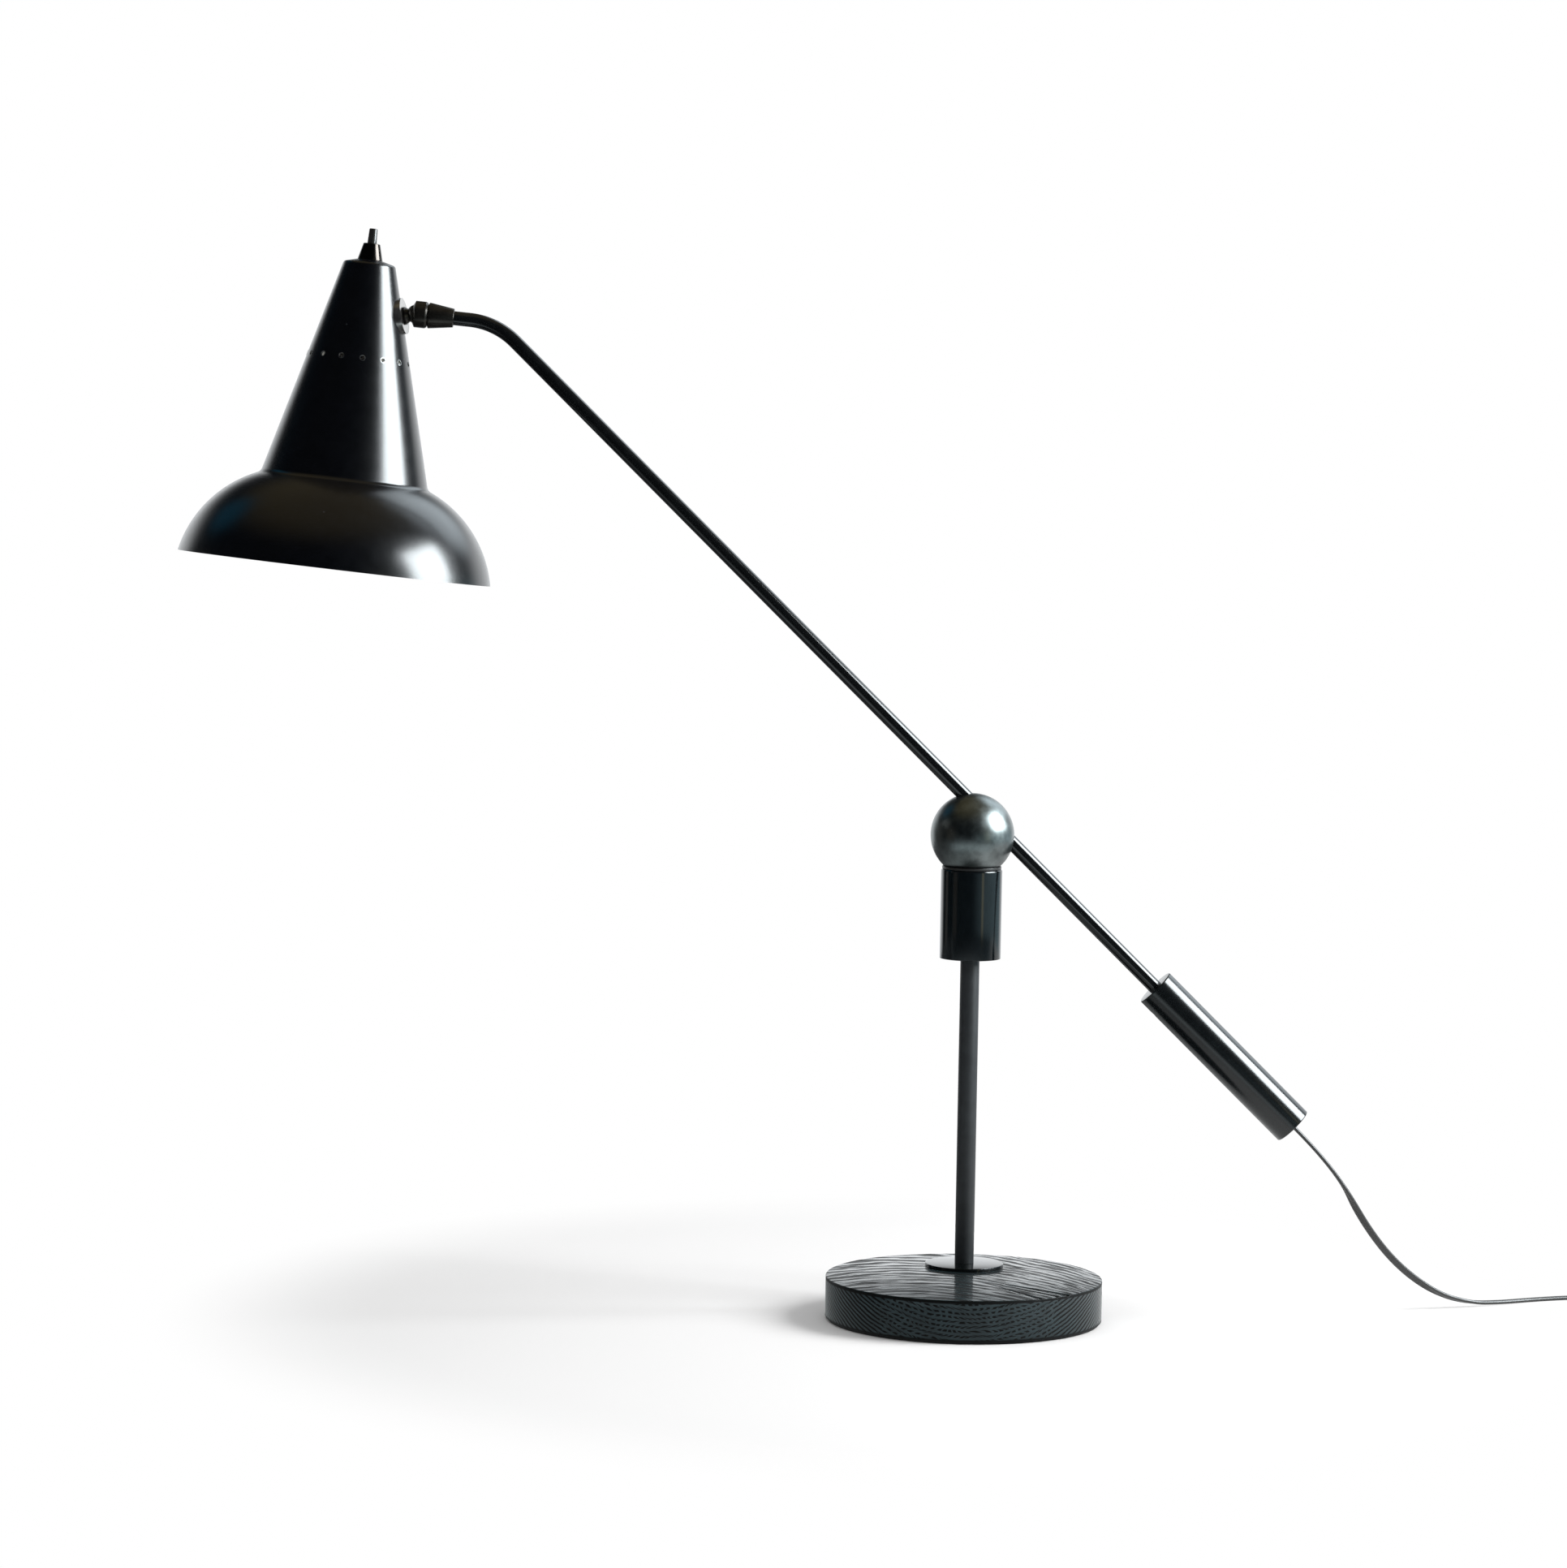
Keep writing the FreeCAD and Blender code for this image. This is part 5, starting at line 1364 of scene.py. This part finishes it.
@dataclass
class Lead:
    """Flat twin lead, from the counterweight to its put-away coil and plug.

    The route is the part's own: its points up to the coil are in metres, and the lead's
    real thickness lets it lie lower than the round tube that stands in for it.
    """

    width: float = 4.8
    core: float = 1.3
    spread: float = 1.1
    exit_at: float = 290.85
    straight: float = 4.8
    route: tuple[tuple[float, float, float], ...] = (
        (0.2475, 0.0426, 0.0982), (0.2685, 0.0470, 0.0602), (0.2920, 0.0560, 0.0312),
        (0.3200, 0.0685, 0.0106), (0.3445, 0.0795, 0.0027), (0.3660, 0.0885, 0.0017),
        (0.3870, 0.0995, 0.0017), (0.4050, 0.1063, 0.0019), (0.4205, 0.1112, 0.0019),
        (0.4340, 0.1133, 0.0017))
    touchdown: int = 4
    coil_x: float = 452.0
    coil_y: float = 74.0
    coil: float = 39.3
    pitch: float = 5.3
    layer: int = 4
    low: float = 1.6
    high: float = 4.5
    exit_step: float = 5.6
    plug_height: float = 6.95
    tail: float = 6.0
    per_turn: int = 16
    twists: tuple[tuple[float, float], ...] = (
        (0.0, 0.0), (48.0, 0.0), (78.0, 75.0), (128.0, 80.0), (168.0, 25.0), (195.0, 0.0),
        (2500.0, 0.0))

    def coil_point(self, turns: float) -> Vector:
        """Control point of the coil in millimetres, after a number of turns.

        It winds inwards on the floor and outwards over itself. The last quarter turn leaves it
        and rises to the plug.
        """
        last = 2 * self.layer
        swell = 1 / math.cos(math.pi / self.per_turn) ** 0.5
        if turns <= last:
            radius = self.coil - self.pitch * (self.layer - abs(turns - self.layer))
            climb = min(max((turns - self.layer) * 2 + 0.5, 0.0), 1.0)
            height = self.low + (self.high - self.low) * climb
        else:
            out = (turns - last) * 4
            radius = self.coil + self.exit_step * out
            height = self.high + (self.plug_height - self.high) * out
        angle = math.radians(90 - 360 * turns)
        return Vector((self.coil_x + radius * swell * math.cos(angle),
                       self.coil_y + radius * swell * math.sin(angle), height))

    def controls(self, axes: Axes) -> list[Vector]:
        """Control points of the whole lead, in metres."""
        points = [axes.arm.at(self.exit_at)]
        points += [Vector(point) for point in self.route]
        points.append(Vector((self.coil_x - self.straight, self.coil_y + self.coil,
                              self.low)) * MM)
        count = int((2 * self.layer + 0.25) * self.per_turn)
        for number in range(count + 1):
            points.append(self.coil_point(number / self.per_turn) * MM)
        end = self.coil_point(count / self.per_turn)
        points.append((end + Vector((0, -self.tail, 0))) * MM)
        return points

    def section(self) -> list[Point]:
        """Outline of the flat twin: two round cores joined by a web."""
        points = []
        for side, first in ((1, -125), (-1, 55)):
            points += arc((side * self.spread, 0), self.core, first, first + 250, 10)
        return points

    def twist(self, along: float) -> float:
        """Roll of the section in degrees, at a distance along the lead in millimetres."""
        for (start, first), (end, second) in zip(self.twists, self.twists[1:]):
            if along <= end:
                return first + (second - first) * eased((along - start) / (end - start))
        return self.twists[-1][1]

    def shape(self, line: Sequence[Vector]) -> Shape:
        """Sweep the section along the smooth line.

        Args:
            line: points of the line, in metres.

        Returns:
            The lead's shape, in millimetres of the row frame.
        """
        outline = self.section()
        sections = []
        along = 0.0
        for n, point in enumerate(line):
            before, after = line[max(n - 1, 0)], line[min(n + 1, len(line) - 1)]
            if n:
                along += (point - line[n - 1]).length / MM
            way = (after - before).normalized()
            flat = way.cross(UP).normalized()
            over = flat.cross(way)
            roll = math.radians(self.twist(along))
            across = flat * math.cos(roll) + over * math.sin(roll)
            normal = over * math.cos(roll) - flat * math.sin(roll)
            sections.append([point / MM + across * x + normal * y for x, y in outline])
        return Shape().lofted(sections)

    def build(self, axes: Axes, plug: Sequence[bpy.types.Object]) -> None:
        line = nurbs_points(self.controls(axes))
        lead = put("lead", self.shape(line).mesh("lead", Matrix.Scale(MM, 4)))
        lead.data.materials.append(SHEATH.material())
        smooth(lead.data, 60.0)
        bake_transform(lead)
        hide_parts("cord_stretch", "cord_coil")


@dataclass
class Plug:
    """Two-pin plug with its strain relief, and the strap round the coil."""

    relief: float = 24.0
    relief_start: float = 3.0
    relief_end: float = 5.0
    length: float = 36.0
    back: float = 14.0
    front: float = 34.98
    half: float = 6.85
    blunt: float = 1.2
    squareness: float = 0.42
    swell: float = 0.55
    collars: int = 6
    collar: tuple[Point, ...] = (
        (0.25, 0.0), (0.0, 0.25), (0.0, 0.65), (0.3, 0.72), (0.9, 0.8), (0.9, 0.95))
    strap: float = 8.0
    sheet: float = 0.5
    strap_corner: float = 0.8
    strap_slack: tuple[float, float, float, float] = (0.3, 0.6, 0.08, 0.35)

    def relief_shape(self) -> Shape:
        """Tapered relief with collars and gaps."""
        outline: list[Point] = [(0, 0)]
        pitch = self.relief / self.collars
        for n in range(self.collars):
            share = (n + 0.5) / self.collars
            radius = self.relief_start + (self.relief_end - self.relief_start) * share
            outline += ridge(radius, n * pitch, pitch, self.collar)
        outline += [(self.relief_end - 0.4, self.relief), (0, self.relief)]
        return Shape().turned(outline, 48, closed=False)

    def body_section(self, along: float) -> list[Vector]:
        """Rounded cross-section of the body, at a distance from its back."""
        share = eased(min(along / (self.length * self.swell), 1.0))
        ends = min(along, self.length - along)
        shrink = self.blunt * max(0.0, 1 - ends / self.blunt) ** 2
        half_width = (self.back + (self.front - self.back) * share) / 2 - shrink
        half_height = self.half * (0.86 + 0.14 * share) - shrink
        return [Vector((math.copysign(abs(x) ** self.squareness, x) * half_width,
                        math.copysign(abs(y) ** self.squareness, y) * half_height,
                        self.relief + along))
                for x, y, _ in circle(Vector(), RIGHT, BACK, 1.0, 48)]

    def strap_shape(self, lead: Lead) -> Shape:
        """Strap round all turns of the coil at its front, in the row frame."""
        outside, inside, under, over = self.strap_slack
        outer = lead.coil - lead.pitch / 2 + lead.width / 2 + outside
        inner = lead.coil - lead.pitch * (lead.layer - 0.5) - lead.width / 2 - inside
        bottom, top = under + self.sheet, lead.high + lead.core + over
        sections = []
        for side in (-1, 1):
            x = lead.coil_x + side * self.strap / 2
            for grow in ((0.0, self.sheet) if side < 0 else (self.sheet, 0.0)):
                front, back = lead.coil_y - outer - grow, lead.coil_y - inner + grow
                low, high, bend = bottom - grow, top + grow, self.strap_corner + grow
                corners = rounded([(front, low, bend), (back, low, bend), (back, high, bend),
                                   (front, high, bend)])
                sections.append([Vector((x, y, z)) for y, z in corners])
        return Shape().lofted(sections + [sections[0]], capped=False)

    def build(self, shop: Workshop, lead: Lead) -> list[bpy.types.Object]:
        """Make the pieces that are on the lead: the plug's and the strap."""
        low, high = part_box("plug_relief")
        back = Vector(((low.x + high.x) / 2, high.y, lead.plug_height * MM))
        place = Place(back, -BACK, RIGHT)
        relief = shop.piece("plug_strain_relief", self.relief_shape(), place, [PLUG], "seat",
                            "plug_plastic", ["plug_relief"])
        middle = (self.length - 2 * self.blunt) / 18
        ends = [self.blunt * n / 4 for n in range(5)]
        steps = ends + [self.blunt + n * middle for n in range(1, 18)]
        steps += [self.length - end for end in reversed(ends)]
        body = shop.piece("plug_case", Shape().lofted([self.body_section(s) for s in steps]),
                          place, [PLUG], "seat", "plug_plastic", ["plug_body"])
        strap = shop.piece("coil_strap", self.strap_shape(lead), None, [SEAT], "seat",
                           "seat_plastic", ["coil_tie"])
        return [relief, body, strap, shop.nodes["plug_pins"]]


# ---- studio

@dataclass(frozen=True)
class SoftBox:
    """A soft area light that faces the lamp."""

    name: str
    direction: Vector
    distance: float
    width: float
    height: float
    radiance: float
    colour: Colour = WHITE
    diffuse: bool = True
    glossy: bool = True
    target: Vector = field(default_factory=lambda: Vector((-0.15, 0.04, 0.35)))

    def build(self) -> None:
        """Hang the light in the scene."""
        light = bpy.data.lights.new(self.name, "AREA")
        light.shape = "RECTANGLE"
        light.size, light.size_y = self.width, self.height
        light.energy = self.radiance * math.pi * self.width * self.height
        light.color = self.colour
        lamp = put(self.name, light)
        way = self.direction.normalized()
        lamp.location = self.target + way * self.distance
        lamp.rotation_mode = "QUATERNION"
        lamp.rotation_quaternion = way.to_track_quat("Z", "Y")
        lamp.visible_camera = False
        lamp.visible_diffuse = self.diffuse
        lamp.visible_glossy = self.glossy


@dataclass(frozen=True)
class Glow:
    """A part of the surroundings with a colour of its own in reflections."""

    colour: Colour

    def share(self, graph: Graph, way: bpy.types.NodeSocket) -> Value:
        """How much of the colour shows in a direction, from 0 to 1."""
        raise NotImplementedError


@dataclass(frozen=True)
class Band(Glow):
    """One side of the room, along the X axis (0) or the Y axis (1), up to a height."""

    axis: int
    aside: Step
    height: Step

    def share(self, graph: Graph, way: bpy.types.NodeSocket) -> Value:
        """How much of the colour shows in a direction, from 0 to 1."""
        parts = graph.parts(way)
        return parts[self.axis].ramp(*self.aside) * parts[2].ramp(*self.height)


@dataclass(frozen=True)
class Patch(Glow):
    """Soft round patch: its middle's direction, and where it fades, in degrees from it."""

    middle: tuple[float, float, float]
    inner: float
    outer: float

    def share(self, graph: Graph, way: bpy.types.NodeSocket) -> Value:
        """How much of the colour shows in a direction, from 0 to 1."""
        near = graph.node("ShaderNodeVectorMath", {"operation": "DOT_PRODUCT"},
                          {0: way, 1: tuple(Vector(self.middle).normalized())})
        return Value(graph, near.outputs["Value"]).ramp(math.cos(math.radians(self.outer)),
                                                        math.cos(math.radians(self.inner)))


@dataclass(frozen=True)
class Strip(Glow):
    """Upright strip, such as a doorway.

    Its azimuth is in degrees from the camera's side towards the right, its width is half of
    its real width in degrees, and its reach is how far it goes above and below the horizon.
    """

    azimuth: float
    width: float
    reach: float = 0.3

    def share(self, graph: Graph, way: bpy.types.NodeSocket) -> Value:
        """How much of the colour shows in a direction, from 0 to 1."""
        x, y, z = graph.parts(way)
        cos, sin = math.cos(math.radians(self.azimuth)), math.sin(math.radians(self.azimuth))
        aside = x * cos + y * sin
        ahead = x * sin - y * cos
        edge, high = math.sin(math.radians(self.width)) ** 2, self.reach ** 2
        return ((aside * aside).ramp(edge * 1.4, edge * 0.4) * ahead.ramp(0.2, 0.4)
                * (z * z).ramp(high, high * 0.5))


@dataclass(frozen=True)
class Floor:
    """Pale round floor that keeps the lamp's shadow and is white further out.

    Distances are in millimetres. It fades sooner to the right, where the lead leaves the
    picture. Reflections show a made-up table: far and near from left to right, with a bright
    front edge, and dim beyond it.
    """

    radius: float = 1500.0
    drop: float = 0.2
    paper: Colour = (0.91, 0.91, 0.91)
    fade: Step = (380.0, 540.0)
    fade_right: float = 0.35
    far: tuple[Colour, Colour] = ((0.14, 0.145, 0.15), (1.05, 1.05, 1.05))
    far_aside: Step = (-100.0, 650.0)
    near: tuple[Colour, Colour] = ((0.45, 0.48, 0.48), (1.60, 1.62, 1.62))
    near_aside: Step = (-120.0, 380.0)
    near_away: Step = (520.0, 180.0)
    front: Colour = (1.05, 1.20, 1.24)
    front_away: Step = (320.0, 450.0)
    front_ahead: Step = (-150.0, -350.0)
    dim: Colour = (0.03, 0.035, 0.04)
    dim_away: Step = (500.0, 1100.0)
    dim_ahead: Step = (200.0, -500.0)

    def table(self, graph: Graph, away: Value, aside: Value,
              ahead: Value) -> bpy.types.NodeSocket:
        """Colour in reflections.

        Args:
            graph: the floor's graph.
            away: distance from the lamp.
            aside: distance to the right.
            ahead: distance to the back.

        Returns:
            The colour.
        """
        far = graph.mix(aside.ramp(*self.far_aside), *self.far)
        near = graph.mix(aside.ramp(*self.near_aside), *self.near)
        lit = graph.mix(away.ramp(*self.near_away), far, near)
        front = away.ramp(*self.front_away) * ahead.ramp(*self.front_ahead)
        dim = away.ramp(*self.dim_away) * ahead.ramp(*self.dim_ahead)
        return graph.mix(dim, graph.mix(front, lit, self.front), self.dim)

    def material(self) -> bpy.types.Material:
        """White to the camera further out, paper near the lamp and a table in reflections."""
        material = bpy.data.materials.new("floor")
        material.use_nodes = True
        graph = Graph(material.node_tree)
        here = graph.place()
        far = graph.node("ShaderNodeVectorMath", {"operation": "LENGTH"}, {0: here})
        away = Value(graph, far.outputs["Value"])
        aside, ahead, _ = graph.parts(here)
        reach = away + aside.most(0.0) * self.fade_right
        paper = graph.node("ShaderNodeBsdfDiffuse", None, {"Color": self.paper})
        white = graph.node("ShaderNodeEmission", None, {"Color": WHITE})
        near = graph.node("ShaderNodeMixShader", None,
                          {0: reach.ramp(*self.fade), 1: paper, 2: white})
        table = graph.node("ShaderNodeEmission", None,
                           {"Color": self.table(graph, away, aside, ahead)})
        plain = graph.node("ShaderNodeMixShader", None,
                           {0: graph.ray("Glossy"), 1: paper, 2: table})
        surface = graph.node("ShaderNodeMixShader", None,
                             {0: graph.ray("Camera"), 1: plain, 2: near})
        graph.node("ShaderNodeOutputMaterial", None, {"Surface": surface})
        return material

    def build(self) -> None:
        """Lay the floor."""
        disc = Shape().turned([(0, 0), (self.radius, 0)], 128, closed=False)
        floor = put("floor", disc.mesh("floor", Matrix.Scale(MM, 4)))
        floor.location.z = -self.drop * MM
        floor.data.materials.append(self.material())


@dataclass(frozen=True)
class Studio:
    """Camera, pale floor, white surroundings and soft lights."""

    eye: Vector = field(default_factory=lambda: Vector((-0.12444, -3.5, 0.63356)))
    pitch: float = 0.080109
    roll: float = 0.0167177
    focal_pixels: float = 6603.8
    sensor: float = 36.0
    room: Colour = (0.012, 0.016, 0.020)
    even: Colour = (0.34, 0.34, 0.34)
    glows: tuple[Glow, ...] = (
        Band((0.50, 0.72, 0.80), 0, (-0.05, 1.0), (0.2, 0.0)),
        Patch((0.22, 0.18, 0.10), (0.0, 0.1, 0.99), 20, 52),
        Patch((0.03, 0.17, 0.28), (-0.67, 0.40, 0.63), 3, 16),
        Strip((0.16, 0.14, 0.12), -65, 9),
        Strip((0.24, 0.23, 0.22), -107, 7),
        Strip((1.30, 1.30, 0.95), 42, 4),
        Band((1.38, 1.42, 1.45), 1, (0.55, 0.8), (0.45, 0.15)),
        Patch((2.5, 2.8, 3.0), (0.50, 0.62, 0.60), 9, 25))
    lights: tuple[SoftBox, ...] = (
        SoftBox("key", Vector((0.90, -0.10, 0.50)), 2.2, 1.2, 1.3, 12.0, glossy=False),
        SoftBox("window", Vector((1.0, -0.12, 0.50)), 2.1, 1.35, 1.2, 26.0, (0.90, 0.97, 1.0),
                diffuse=False),
        SoftBox("top", Vector((-0.05, 0.15, 1.0)), 2.4, 1.8, 1.8, 1.3, glossy=False),
        SoftBox("fill", Vector((-0.8, -0.7, 0.5)), 2.6, 1.2, 1.2, 1.0, glossy=False))

    def camera(self) -> None:
        """Make the camera at the photograph's place."""
        data = bpy.data.cameras.new("camera")
        data.sensor_width = self.sensor
        data.lens = self.focal_pixels * self.sensor / IMAGE_HEIGHT
        data.clip_start, data.clip_end = 0.1, 100.0
        camera = put("camera", data)
        ahead = Vector((0, math.cos(self.pitch), -math.sin(self.pitch)))
        up = Vector((0, math.sin(self.pitch), math.cos(self.pitch)))
        across = RIGHT * math.cos(self.roll) + up * math.sin(self.roll)
        over = up * math.cos(self.roll) - RIGHT * math.sin(self.roll)
        turn = Matrix((across, over, -ahead)).transposed().to_4x4()
        camera.matrix_world = Matrix.Translation(self.eye) @ turn
        bpy.context.scene.camera = camera

    def world(self) -> None:
        """White to the camera; a dim room in reflections; even light on surfaces."""
        world = bpy.data.worlds.new("studio")
        bpy.context.scene.world = world
        world.use_nodes = True
        graph = Graph(world.node_tree)
        way = graph.node("ShaderNodeTexCoord").outputs["Generated"]
        room: object = self.room
        for glow in self.glows:
            room = graph.mix(glow.share(graph, way), room, glow.colour)
        mirrored = graph.ray("Glossy").most(graph.ray("Transmission"))
        colour = graph.mix(mirrored, self.even, room)
        colour = graph.mix(graph.ray("Camera"), colour, WHITE)
        shader = graph.node("ShaderNodeBackground", None, {"Color": colour, "Strength": 1.0})
        graph.node("ShaderNodeOutputWorld", None, {"Surface": shader})

    def build(self) -> None:
        """Set the stage."""
        bpy.context.scene.view_settings.view_transform = "Standard"
        self.camera()
        self.world()
        Floor().build()
        for light in self.lights:
            light.build()


def main() -> None:
    """Dress the lamp."""
    logging.basicConfig(level=logging.INFO, format="%(name)s: %(message)s")
    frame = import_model()
    axes = Axes.of(frame)
    shop = Workshop(frame["nodes"])
    Studio().build()
    lead = Lead()
    lead.build(axes, Plug().build(shop, lead))
    arm = Arm()
    Base().build(shop)
    Stem().build(shop, axes)
    Cup().build(shop, axes)
    arm.build(shop, axes)
    Swivel().build(shop, axes, arm.radius)
    Shade().build(shop, axes)
    Switch().build(shop, axes)
    Lampholder().build(shop, axes)


if __name__ == "__main__":
    main()
